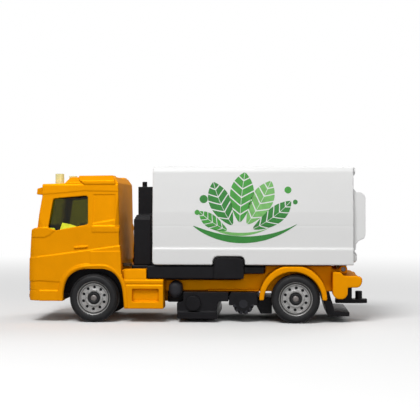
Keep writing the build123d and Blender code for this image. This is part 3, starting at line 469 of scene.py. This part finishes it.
def slab(bm, axis, corners, start, end, edge=0.0, rim=0.0):
    """An outline across an axis, in millimetres, swept along it, its edges rounded by edge.

    With a rim, what is swept is a frame that wide, just inside the outline.
    """
    verts = []
    for corner in corners:
        place = list(corner)
        place.insert(axis, start)
        verts.append(bm.verts.new(Vector(place) * MM))
    sweep = Vector((0, 0, 0))
    sweep[axis] = (end - start) * MM
    flat = [bm.faces.new(verts)]
    if rim:
        middle = flat
        flat = bmesh.ops.inset_region(
            bm, faces=middle, thickness=rim * MM, use_even_offset=True,
        )["faces"]
        bmesh.ops.delete(bm, geom=middle, context="FACES_ONLY")
        verts = list({vert for face in flat for vert in face.verts})
    swept = bmesh.ops.extrude_face_region(bm, geom=flat)["geom"]
    moved = [part for part in swept if isinstance(part, bmesh.types.BMVert)]
    bmesh.ops.translate(bm, vec=sweep, verts=moved)
    if edge:
        bm.normal_update()
        lines = {line for vert in verts + moved for line in vert.link_edges}
        round_edges(bm, [line for line in lines if line.calc_face_angle(0) > FLAT], edge)


def oblong(centre, width, height):
    """The four corners of an upright oblong."""
    a, b = centre
    corners = ((-1, -1), (1, -1), (1, 1), (-1, 1))
    return [(a + i * width / 2, b + j * height / 2) for i, j in corners]


def round_edges(bm, edges, radius_mm):
    bmesh.ops.bevel(
        bm, geom=list(edges), offset=radius_mm * MM, offset_type="OFFSET",
        affect="EDGES", segments=3, profile=0.5, material=-1, clamp_overlap=True,
    )


# ---- Wheels ------------------------------------------------------------------------------
# Sections are (behind the tyre's face, radius), in millimetres.
TYRE_R = 5.68
TYRE_INNER_WALL = (
    (4.4, 0.74), (4.4, 3.3), (4.22, 4.0), (4.4, 4.6), (4.26, 5.15), (3.98, 5.53), (3.6, TYRE_R),
)
TREAD_GROOVES = (3.05, 2.2, 1.35)
TREAD_GROOVE_HALF = 0.14
TREAD_GROOVE_TAPER = 0.7          # width of a groove's floor, as a share of its mouth
TREAD_GROOVE_DEPTH = 0.2
TYRE_OUTER_WALL = (
    (0.78, TYRE_R), (0.46, 5.61), (0.27, 5.45), (0.22, 5.36), (0.30, 5.29), (0.18, 5.20),
    (0.05, 4.95), (0.0, 4.70), (0.02, 4.40), (0.09, 4.12), (0.22, 3.92), (0.40, 3.82),
    (0.95, 3.46), (1.32, 3.40), (1.32, 1.30), (0.55, 1.30), (0.42, 1.24), (0.36, 1.12),
    (0.38, 0.92), (0.52, 0.74),
)
TYRE_STEPS = 72
RIM_DISC_BEHIND = 0.86
RIM_SECTION = (
    (0.22, 3.90), (0.25, 3.84), (0.31, 3.80), (0.78, 3.58), (0.80, 3.50), (0.60, 3.43),
    (0.50, 3.35), (0.50, 3.24), (0.80, 3.10), (RIM_DISC_BEHIND, 3.02), (RIM_DISC_BEHIND, 2.56),
    (RIM_DISC_BEHIND, 2.12), (0.84, 2.09), (0.74, 2.03), (0.70, 1.95), (0.70, 1.60),
    (0.78, 1.46), (0.95, 1.33), (1.25, 1.33), (1.25, 3.36), (0.90, 3.46), (0.36, 3.84),
)
RIM_STEPS = 60
POCKETS = 10
POCKET_CIRCLE_R = 2.56
POCKET_R = 0.37
POCKET_DEPTH = 0.36
POCKET_PATCH_R = 0.42  # faces of the disc this near a pocket's centre are pressed in
POCKET_LIP = 0.03
POCKET_TURN = 3        # degrees
NUT_CIRCLE_R = 1.84
NUT_BEHIND = 0.66
NUT_R = 0.2
NUT_TOP_R = 0.14
NUT_HEIGHT = 0.2
NUT_TURN = 21          # degrees
AXLE_SECTION = ((0.34, 0.0), (0.34, 0.36), (0.38, 0.58), (0.48, 0.70))
AXLE_R = 0.72
AXLE_SHOULDER = 0.6
AXLE_STEPS = 32


def tyre_section():
    mouth = TREAD_GROOVE_HALF
    foot = mouth * TREAD_GROOVE_TAPER
    floor = TYRE_R - TREAD_GROOVE_DEPTH
    grooves = []
    for d in TREAD_GROOVES:
        grooves += [(d + mouth, TYRE_R), (d + foot, floor), (d - foot, floor), (d - mouth, TYRE_R)]
    return list(TYRE_INNER_WALL) + grooves + list(TYRE_OUTER_WALL)


def outward(section):
    """The section with each point's distance behind the face turned into a place along X."""
    return [(-behind, radius) for behind, radius in section]


def around(angle, radius, behind):
    """A point on a circle round the axle, in metres."""
    return Vector((-behind, math.sin(angle) * radius, math.cos(angle) * radius)) * MM


def rim_pocket(bm, angle):
    """Presses one hand hole into the rim's disc."""
    centre = around(angle, POCKET_CIRCLE_R, RIM_DISC_BEHIND)
    patch = [
        face for face in bm.faces
        if (face.calc_center_median() - centre).length < POCKET_PATCH_R * MM
        and abs(face.normal.x) > 0.9
    ]
    bmesh.ops.inset_region(bm, faces=patch, thickness=POCKET_LIP * MM, use_even_offset=True)
    border = {
        vert for face in patch for edge in face.edges
        if any(other not in patch for other in edge.link_faces) for vert in edge.verts
    }
    for vert in border:
        vert.co = centre + (vert.co - centre).normalized() * POCKET_R * MM
    pressed = bmesh.ops.extrude_face_region(bm, geom=patch)["geom"]
    bmesh.ops.delete(bm, geom=patch, context="FACES")
    floor = [part for part in pressed if isinstance(part, bmesh.types.BMVert)]
    bmesh.ops.translate(bm, vec=(-POCKET_DEPTH * MM, 0, 0), verts=floor)
    for part in pressed:
        if isinstance(part, bmesh.types.BMFace):
            part.material_index = 1


def rim_nut(bm, angle):
    turn = Matrix.Rotation(math.radians(90), 4, "Y")
    place = Matrix.Translation(around(angle, NUT_CIRCLE_R, NUT_BEHIND))
    bmesh.ops.create_cone(
        bm, cap_ends=True, cap_tris=False, segments=6,
        radius1=NUT_R * MM, radius2=NUT_TOP_R * MM, depth=NUT_HEIGHT * MM, matrix=place @ turn,
    )


def wheel(row, hand, side):
    low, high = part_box("%s_tyre_%s" % (row, hand))
    face = max(abs(low[0]), abs(high[0])) / MM
    place = (side * face, (low[1] + high[1]) / 2 / MM, (low[2] + high[2]) / 2 / MM)
    tyre = bmesh.new()
    spun(tyre, outward(tyre_section()), TYRE_STEPS)
    settle(tyre, place, side)
    tyre_name = "%s_tyre_%s" % (row, hand)
    finished(tyre_name + "_ribbed", tyre, [tyre_black], row + "_axle", [tyre_name])
    rim = bmesh.new()
    spun(rim, outward(RIM_SECTION), RIM_STEPS)
    bmesh.ops.recalc_face_normals(rim, faces=rim.faces)
    for i in range(POCKETS):
        rim_pocket(rim, math.radians(POCKET_TURN + 360 / POCKETS * i))
    for i in range(POCKETS):
        rim_nut(rim, math.radians(NUT_TURN + 360 / POCKETS * i))
    settle(rim, place, side)
    rim_name = "%s_rim_%s" % (row, hand)
    finished(
        rim_name + "_pressed", rim, [silver, dark_grey], row + "_axle", [rim_name],
    )


def axle(row):
    low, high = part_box("%s_tyre_left" % row)
    face = high[0] / MM
    end = [(face - behind, radius) for behind, radius in AXLE_SECTION]
    half = end + [(face - AXLE_SHOULDER, AXLE_R)]
    bm = bmesh.new()
    spun(bm, half + [(-x, r) for x, r in reversed(half)], AXLE_STEPS, closed=False)
    bmesh.ops.translate(bm, vec=(0, (low[1] + high[1]) / 2, (low[2] + high[2]) / 2), verts=bm.verts)
    finished(row + "_axle_peened", bm, [steel], row + "_axle", [row + "_axle"])


for row in ("front", "rear"):
    axle(row)
    for hand, side in SIDES:
        wheel(row, hand, side)


# ---- Printed leaves on the container's sides ---------------------------------------------
SIDE_PROFILE = ((17.5, 13.15), (25.78, 13.15), (35.28, 12.55))
PRINT_PROUD = 0.03
PRINT_THICK = 0.07
VEIN = 0.02            # bare strip between two ribs of a leaf, as a share of its length
MIDRIB = 0.06          # bare strip on each side of a leaf's middle line, in millimetres
LEAF_SLANT = 0.16
LEAF_RIBS = 6
LEAF_LEAN = 0.8        # below 1 a leaf is widest nearer its root
LEAF_FULLNESS = 0.9    # below 1 its edge is fuller
LEAF_CELLS = 4
SWEEP_CELLS = 40
SWEEP_SPAN = (0.004, 0.996)
SPOT_CORNERS = 28
# ink, root (Y, Z), heading, length, half width, bend, veined
LEAVES = (
    (0, (8.1, 22.7), 124, 11.2, 2.45, -20, True),
    (1, (9.7, 23.3), 88, 11.9, 2.7, -8, True),
    (2, (11.3, 22.9), 54, 11.7, 2.5, 14, True),
    (0, (12.6, 21.9), 24, 11.2, 1.9, 24, True),
    (1, (6.9, 21.6), 158, 8.0, 1.5, -24, True),
)
SWEEPS = (
    (0, (-1.2, 22.7), -31, 25.6, 0.8, 64, False),
    (2, (3.6, 21.9), -22, 13.2, 0.36, 46, False),
)
# ink, centre (Y, Z), radius
SPOTS = (
    (0, (1.3, 28.9), 0.95), (1, (-0.2, 25.8), 0.6), (1, (20.9, 31.0), 0.8), (0, (22.6, 28.2), 0.55),
)


def side_x(z):
    """How far out the container's side stands at a height, in millimetres."""
    for (z0, x0), (z1, x1) in zip(SIDE_PROFILE, SIDE_PROFILE[1:]):
        if z <= z1:
            return x0 + (x1 - x0) * max(0.0, (z - z0) / (z1 - z0))
    return SIDE_PROFILE[-1][1]


def on_side(y, z):
    return Vector((side_x(z) + PRINT_PROUD - PRINT_THICK, y, z)) * MM


def leaf_strip(bm, leaf, start, end, hand):
    """One strip of a leaf between two of its ribs, or the whole of a leaf that has none."""
    _, root, heading, length, half_width, bend, veined = leaf
    cells = LEAF_CELLS if veined else SWEEP_CELLS
    grid = bmesh.ops.create_grid(bm, x_segments=cells, y_segments=LEAF_CELLS, size=0.5)["verts"]
    turn = math.radians(bend)
    for vert in grid:
        along = start + (end - start) * (vert.co.x + 0.5)
        out = vert.co.y + 0.5 if veined else vert.co.y * 2
        swell = math.sin(math.pi * along ** LEAF_LEAN) ** LEAF_FULLNESS
        reach = along + (LEAF_SLANT * out * swell if veined else 0)
        aside = hand * (half_width * out * swell + (MIDRIB if veined else 0))
        angle = math.radians(heading) + turn * reach
        ahead = length * math.sin(turn * reach / 2) / (turn / 2)
        line = math.radians(heading) + turn * reach / 2
        y = root[0] + ahead * math.cos(line) - aside * math.sin(angle)
        z = root[1] + ahead * math.sin(line) + aside * math.cos(angle)
        vert.co = on_side(y, z)


def printed_spot(bm, centre, radius):
    disc = bmesh.ops.create_circle(bm, cap_ends=True, segments=SPOT_CORNERS, radius=radius)["verts"]
    for vert in disc:
        vert.co = on_side(centre[0] + vert.co.x, centre[1] + vert.co.y)


def print_in(ink, hand, side):
    """All of the print on one side that is in one ink."""
    bm = bmesh.new()
    for leaf in LEAVES + SWEEPS:
        own_ink, *_, veined = leaf
        if own_ink != ink:
            continue
        if not veined:
            leaf_strip(bm, leaf, *SWEEP_SPAN, 1)
            continue
        for half in (-1, 1):
            for i in range(LEAF_RIBS):
                leaf_strip(bm, leaf, i / LEAF_RIBS + VEIN, (i + 1) / LEAF_RIBS - VEIN / 2, half)
    for own_ink, centre, radius in SPOTS:
        if own_ink == ink:
            printed_spot(bm, centre, radius)
    raised = bmesh.ops.extrude_face_region(bm, geom=bm.faces[:])["geom"]
    top = [part for part in raised if isinstance(part, bmesh.types.BMVert)]
    bmesh.ops.translate(bm, vec=(PRINT_THICK * MM, 0, 0), verts=top)
    bmesh.ops.scale(bm, vec=(side, 1, 1), verts=bm.verts)
    finished("leaf_print_%s_%s" % (PRINT_NAMES[ink], hand), bm, [inks[ink]], "container")


for ink in range(len(LEAF_GREENS)):
    for hand, side in SIDES:
        print_in(ink, hand, side)


# ---- Cab details -------------------------------------------------------------------------
# The glazing's thick inner rib, given a painted glow at the foot of each side window.
RIB_OUTER_X = 12.45
RIB_INNER_X = 11.6
GLAZING_RIBS = (
    (
        (-32.75, 21.6), (-32.1, 23.35), (-31.4, 23.2), (-30.2, 23.0), (-28.6, 22.45),
        (-28.3, 21.9), (-28.6, 21.6),
    ),
    ((-35.25, 21.5), (-35.0, 22.15), (-34.0, 22.1), (-33.8, 21.5)),
)
for hand, side in SIDES:
    bm = bmesh.new()
    for rib in GLAZING_RIBS:
        slab(bm, 0, rib, side * RIB_INNER_X, side * RIB_OUTER_X)
    finished("glazing_rib_" + hand, bm, [edge_glow], "chassis")


# Inner edge of the front wheel's arch, from the bumper over the wheel to the foot of the step,
# as (Y, Z) in millimetres.
ARCH_EDGE = (
    (-31.86, 5.2), (-31.68, 7.14), (-31.19, 9.38), (-30.33, 10.87), (-29.06, 11.87),
    (-27.34, 12.45), (-24.84, 12.66), (-22.35, 12.7), (-21.11, 12.45), (-19.62, 11.45),
    (-18.38, 9.85), (-17.63, 7.5), (-17.38, 3.7),
)
# Web between the cab's rear edge and the step's upper block.
STEP_WEB = ((-18.5, 9.4), (-16.9, 9.4), (-16.9, 12.3), (-18.1, 12.3))
STEP_WEB_X = (8.6, 12.7)
# Lining: a wall across the cab ahead of the wheels, and a cheek inside each wheel, both black,
# standing in for the shade inside the arches.
ARCH_WALL = ((-12.7, 5.0), (12.7, 5.0), (12.7, 12.6), (-12.7, 12.6))
ARCH_WALL_Y = (-33.0, -32.1)
ARCH_CHEEK = (
    (-32.2, 6.6), (-18.3, 6.6), (-18.3, 11.2), (-20.5, 12.6), (-30.0, 12.6), (-32.2, 11.2),
)
ARCH_CHEEK_X = (8.31, 8.6)
ARCH_PIECE_EDGE = 0.2
BEAD_R = 0.58
BEAD_X = 13.05


def bead_mesh(name, points, radius):
    """A round bead along a smooth line through the points."""
    curve = bpy.data.curves.new(name, "CURVE")
    curve.dimensions = "3D"
    line = curve.splines.new("NURBS")
    line.points.add(len(points) - 1)
    for spot, place in zip(line.points, points):
        spot.co = (*place, 1)
    line.order_u = 3
    line.use_endpoint_u = True
    line.resolution_u = 6
    curve.bevel_depth = radius
    curve.bevel_resolution = 4
    curve.use_fill_caps = True
    carrier = bpy.data.objects.new(name, curve)
    bpy.context.scene.collection.objects.link(carrier)
    shaped = carrier.evaluated_get(bpy.context.evaluated_depsgraph_get())
    mesh = bpy.data.meshes.new_from_object(shaped)
    bpy.data.objects.remove(carrier)
    return mesh


wheel_low, wheel_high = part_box("front_tyre_left")
wheel_centre = (wheel_low + wheel_high) / 2
for hand, side in SIDES:
    line = []
    for y, z in ARCH_EDGE:
        edge_point = Vector((0, y, z)) * MM
        away = edge_point - Vector((0, wheel_centre[1], wheel_centre[2]))
        out = Vector((side * BEAD_X * MM, 0, 0))
        line.append(edge_point + away.normalized() * BEAD_R * MM + out)
    bm = bmesh.new()
    bm.from_mesh(bead_mesh("bead", line, BEAD_R * MM))
    finished("arch_bead_" + hand, bm, [enamel], "chassis")
    bm = bmesh.new()
    slab(bm, 0, STEP_WEB, *[side * x for x in STEP_WEB_X], ARCH_PIECE_EDGE)
    finished("step_web_" + hand, bm, [enamel], "chassis")

# Black pieces that stand in for the shade inside the front wheel arches.
bm = bmesh.new()
slab(bm, 1, ARCH_WALL, *ARCH_WALL_Y, ARCH_PIECE_EDGE)
for _, side in SIDES:
    slab(bm, 0, ARCH_CHEEK, *[side * x for x in ARCH_CHEEK_X])
finished("arch_shade_lining", bm, [black], "chassis")


# ---- Bristle roller ----------------------------------------------------------------------
TUFT_ROWS = 11
TUFT_PROFILE = ((0.05, 2.5), (0.5, 2.5), (0.62, 1.75), (0.93, 1.75))   # share of a row, radius
ROLLER_STEPS = 24
ROLLER_TWIST = 150     # degrees from end to end


def bristle_roller():
    """Rows of stiff tufts wound round the roller that sweeps dirt into the nozzle."""
    low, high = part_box("sweeping_roller")
    bm = bmesh.new()
    ring = []
    for row in range(TUFT_ROWS):
        for share, radius in TUFT_PROFILE:
            angle = 2 * math.pi * (row + share) / TUFT_ROWS
            y, z = math.cos(angle) * radius * MM, math.sin(angle) * radius * MM
            ring.append(bm.verts.new((low[0], y, z)))
    first = bm.faces.new(ring)
    end = [first]
    turn = Matrix.Rotation(math.radians(ROLLER_TWIST / ROLLER_STEPS), 3, "X")
    for _ in range(ROLLER_STEPS):
        pushed = bmesh.ops.extrude_face_region(bm, geom=end)["geom"]
        verts = [part for part in pushed if isinstance(part, bmesh.types.BMVert)]
        bmesh.ops.rotate(bm, cent=(0, 0, 0), matrix=turn, verts=verts)
        bmesh.ops.translate(bm, vec=((high[0] - low[0]) / ROLLER_STEPS, 0, 0), verts=verts)
        if end != [first]:
            bmesh.ops.delete(bm, geom=end, context="FACES_ONLY")
        end = [part for part in pushed if isinstance(part, bmesh.types.BMFace)]
    centre = (0, (low[1] + high[1]) / 2, (low[2] + high[2]) / 2)
    bmesh.ops.translate(bm, vec=centre, verts=bm.verts)
    finished(
        "sweeping_roller_bristled", bm, [dark_grey], "chassis",
        ["sweeping_roller"],
    )


bristle_roller()


# ---- Small parts along the frame ---------------------------------------------------------
RAIL_LIP = ((8.2, 7.12), (8.8, 7.12), (8.8, 7.36), (8.2, 7.62))
RAIL_LIP_Y = (2.0, 14.4)
RAIL_LIP_EDGE = 0.06
HOSE_BRACKET = ((-7.6, 4.4), (-2.6, 4.4), (-2.6, 7.3), (-7.6, 7.3))
HOSE_BRACKET_X = (6.0, 7.7)
HOSE_BRACKET_EDGE = 0.25
for hand, side in SIDES:
    bm = bmesh.new()
    slab(bm, 1, [(side * x, z) for x, z in RAIL_LIP], *RAIL_LIP_Y, RAIL_LIP_EDGE)
    finished("rail_lip_" + hand, bm, [enamel], "chassis")
    bm = bmesh.new()
    slab(bm, 0, HOSE_BRACKET, *[side * x for x in HOSE_BRACKET_X], HOSE_BRACKET_EDGE)
    finished("hose_bracket_" + hand, bm, [black], "chassis")


# ---- Rear door ---------------------------------------------------------------------------
DOOR_FACE_Y = 38.88
DOOR_RIB_ROOT = 0.2
DOOR_RIB_PROUD = 0.14
DOOR_RIB_EDGE = 0.06
# Frame moulded on the door's flat, as centre (X, Z), width, height, and the width of its ribs.
DOOR_FRAME = ((0, 24.95), 22.0, 7.5)
DOOR_FRAME_RIM = 0.4
# Upright ribs that run into the frame, and how much lower than it they stand.
DOOR_RIBS = (((-3.7, 24.95), 0.5, 7.3), ((3.7, 24.95), 0.5, 7.3))
DOOR_RIB_DROP = 0.03
DOOR_HINGE = ((35.9, 34.3), (36.55, 34.5), (36.8, 35.0), (36.8, 35.8), (36.5, 36.2), (35.9, 36.3))
DOOR_HINGE_X = (6.4, 7.9)
DOOR_HOOK = ((35.9, 14.0), (36.6, 14.1), (37.02, 14.6), (37.02, 15.9), (36.6, 16.6), (35.9, 17.2))
DOOR_HOOK_X = (9.2, 10.2)
DOOR_FITTING_EDGE = 0.12
bm = bmesh.new()
slab(
    bm, 1, oblong(*DOOR_FRAME), DOOR_FACE_Y - DOOR_RIB_ROOT, DOOR_FACE_Y + DOOR_RIB_PROUD,
    DOOR_RIB_EDGE, DOOR_FRAME_RIM,
)
for rib in DOOR_RIBS:
    slab(
        bm, 1, oblong(*rib), DOOR_FACE_Y - DOOR_RIB_ROOT + DOOR_RIB_DROP,
        DOOR_FACE_Y + DOOR_RIB_PROUD - DOOR_RIB_DROP, DOOR_RIB_EDGE,
    )
for side in (-1, 1):
    slab(bm, 0, DOOR_HINGE, *[side * x for x in DOOR_HINGE_X], DOOR_FITTING_EDGE)
    slab(bm, 0, DOOR_HOOK, *[side * x for x in DOOR_HOOK_X], DOOR_FITTING_EDGE)
finished("door_ribs_and_hinges", bm, [body_white], "container")


# ---- Moulded lamps and intake ------------------------------------------------------------
TAIL_LAMP_X = 9.6
TAIL_LAMP_Z = 9.95
TAIL_LAMP_SIZE = (4.2, 1.5)
TAIL_LAMP_Y = (36.6, 37.98)
TAIL_LAMP_EDGE = 0.12
TAIL_LAMP_CELLS = (-1.25, 0.0, 1.25)
TAIL_CELL_SIZE = (0.95, 0.95)
TAIL_CELL_Y = (37.6, 38.16)
TAIL_CELL_EDGE = 0.14
BUMPER_Y = (-40.26, -39.7)        # front and back of what is let into the bumper
INTAKE = ((0, 6.35), 9.4, 1.35)
INTAKE_EDGE = 0.16
INTAKE_BARS_Z = (6.1, 6.6)
INTAKE_BAR_SIZE = (8.6, 0.2)
INTAKE_BAR_Y = (-40.34, -40.1)
INTAKE_BAR_EDGE = 0.06
BUMPER_LAMP_X = 10.0
BUMPER_LAMP_Z = 6.1
BUMPER_LAMP_SIZE = (2.6, 0.8)
BUMPER_LAMP_EDGE = 0.12
for hand, side in SIDES:
    bm = bmesh.new()
    housing = oblong((side * TAIL_LAMP_X, TAIL_LAMP_Z), *TAIL_LAMP_SIZE)
    slab(bm, 1, housing, *TAIL_LAMP_Y, TAIL_LAMP_EDGE)
    for offset in TAIL_LAMP_CELLS:
        cell = oblong((side * TAIL_LAMP_X + offset, TAIL_LAMP_Z), *TAIL_CELL_SIZE)
        slab(bm, 1, cell, *TAIL_CELL_Y, TAIL_CELL_EDGE)
    finished("tail_lamp_moulding_" + hand, bm, [enamel], "chassis")

bm = bmesh.new()
slab(bm, 1, oblong(*INTAKE), *BUMPER_Y, INTAKE_EDGE)
for z in INTAKE_BARS_Z:
    slab(bm, 1, oblong((0, z), *INTAKE_BAR_SIZE), *INTAKE_BAR_Y, INTAKE_BAR_EDGE)
finished("bumper_intake", bm, [black], "chassis")
for hand, side in SIDES:
    bm = bmesh.new()
    face = oblong((side * BUMPER_LAMP_X, BUMPER_LAMP_Z), *BUMPER_LAMP_SIZE)
    slab(bm, 1, face, *BUMPER_Y, BUMPER_LAMP_EDGE)
    finished("bumper_lamp_" + hand, bm, [lens], "chassis")


# ---- Stage, light and camera -------------------------------------------------------------
FLOOR_RADIUS = 2.5
FLOOR_DROP = 0.02      # millimetres below the tyres
FLOOR_FADE = (0.02, 0.38)         # metres out, between which the floor turns into the backdrop
FLOOR_COLOUR = (0.84, 0.84, 0.84)
FLOOR_BOUNCE = (0.25, 0.25, 0.25)
WORLD_LIGHT = 0.26
LIGHT_TARGET = (0, 0, 0.02)
# name, place, size across, power
LIGHTS = (
    ("key", (0.22, -0.06, 0.30), 0.16, 0.98),
    ("fill", (0.44, 0.12, 0.18), 0.35, 0.38),
    ("back", (-0.32, 0.18, 0.34), 0.30, 0.6),
)
EYE = Vector((255.19, 17.26, 26.35)) * MM
YAW = 0.0597           # of the line of sight from -X towards -Y
CAMERA_LENS = 89.26
NEAREST_SEEN = 0.01


def seen_directly(tree):
    """1 for what the camera sees, straight or in a gloss or through clear plastic, else 0."""
    path = tree.nodes.new("ShaderNodeLightPath")
    total = path.outputs["Is Camera Ray"]
    for name in ("Is Glossy Ray", "Is Transmission Ray"):
        either = tree.nodes.new("ShaderNodeMath")
        either.operation = "MAXIMUM"
        tree.links.new(total, either.inputs[0])
        tree.links.new(path.outputs[name], either.inputs[1])
        total = either.outputs[0]
    return total


def studio_floor():
    """A pale floor that keeps the toy's shadow and turns into the white backdrop further off."""
    bm = bmesh.new()
    bmesh.ops.create_circle(bm, cap_ends=True, segments=96, radius=FLOOR_RADIUS)
    mesh = bpy.data.meshes.new("floor")
    bm.to_mesh(mesh)
    bm.free()
    floor = bpy.data.objects.new("floor", mesh)
    bpy.context.scene.collection.objects.link(floor)
    floor.location = (0, 0, -FLOOR_DROP * MM)
    pale = Finish("pale floor", FLOOR_COLOUR, 0.9, Specular_IOR_Level=0.0)
    direct = seen_directly(pale.tree)
    pale.paint(pale.blend(direct, FLOOR_BOUNCE, FLOOR_COLOUR))
    distance = pale.add("VectorMath", operation="LENGTH")
    pale.link(pale.place, distance.inputs[0])
    far = pale.spread(distance.outputs["Value"], 0, 1, *FLOOR_FADE)
    far.node.interpolation_type = "SMOOTHSTEP"
    shown = pale.add("Math", operation="MULTIPLY")
    pale.link(far, shown.inputs[0])
    pale.link(direct, shown.inputs[1])
    glow = pale.add("Emission")
    glow.inputs["Color"].default_value = (1, 1, 1, 1)
    mix = pale.add("MixShader")
    pale.link(shown.outputs[0], mix.inputs[0])
    pale.link(pale.shader.outputs[0], mix.inputs[1])
    pale.link(glow.outputs[0], mix.inputs[2])
    pale.link(mix.outputs[0], pale.tree.nodes["Material Output"].inputs["Surface"])
    dress(floor, pale.material)


def area_light(name, place, size, power):
    light = bpy.data.lights.new(name, "AREA")
    light.shape = "DISK"
    light.size = size
    light.energy = power
    obj = bpy.data.objects.new(name, light)
    obj.location = place
    obj.rotation_euler = (Vector(LIGHT_TARGET) - Vector(place)).to_track_quat("-Z", "Y").to_euler()
    bpy.context.scene.collection.objects.link(obj)


def studio_world():
    world = bpy.data.worlds.new("studio")
    world.use_nodes = True
    tree = world.node_tree
    soft = tree.nodes["Background"]
    soft.inputs["Color"].default_value = (1, 1, 1, 1)
    soft.inputs["Strength"].default_value = WORLD_LIGHT
    white = tree.nodes.new("ShaderNodeBackground")
    white.inputs["Color"].default_value = (1, 1, 1, 1)
    mix = tree.nodes.new("ShaderNodeMixShader")
    tree.links.new(seen_directly(tree), mix.inputs[0])
    tree.links.new(soft.outputs[0], mix.inputs[1])
    tree.links.new(white.outputs[0], mix.inputs[2])
    tree.links.new(mix.outputs[0], tree.nodes["World Output"].inputs["Surface"])
    bpy.context.scene.world = world


studio_floor()
studio_world()
for light in LIGHTS:
    area_light(*light)

camera_data = bpy.data.cameras.new("camera")
camera_data.lens = CAMERA_LENS
camera_data.clip_start = NEAREST_SEEN
camera = bpy.data.objects.new("camera", camera_data)
camera.location = EYE
sight = Vector((-math.cos(YAW), -math.sin(YAW), 0))
camera.rotation_euler = sight.to_track_quat("-Z", "Y").to_euler()
bpy.context.scene.collection.objects.link(camera)
bpy.context.scene.camera = camera
bpy.context.scene.view_settings.view_transform = "Standard"
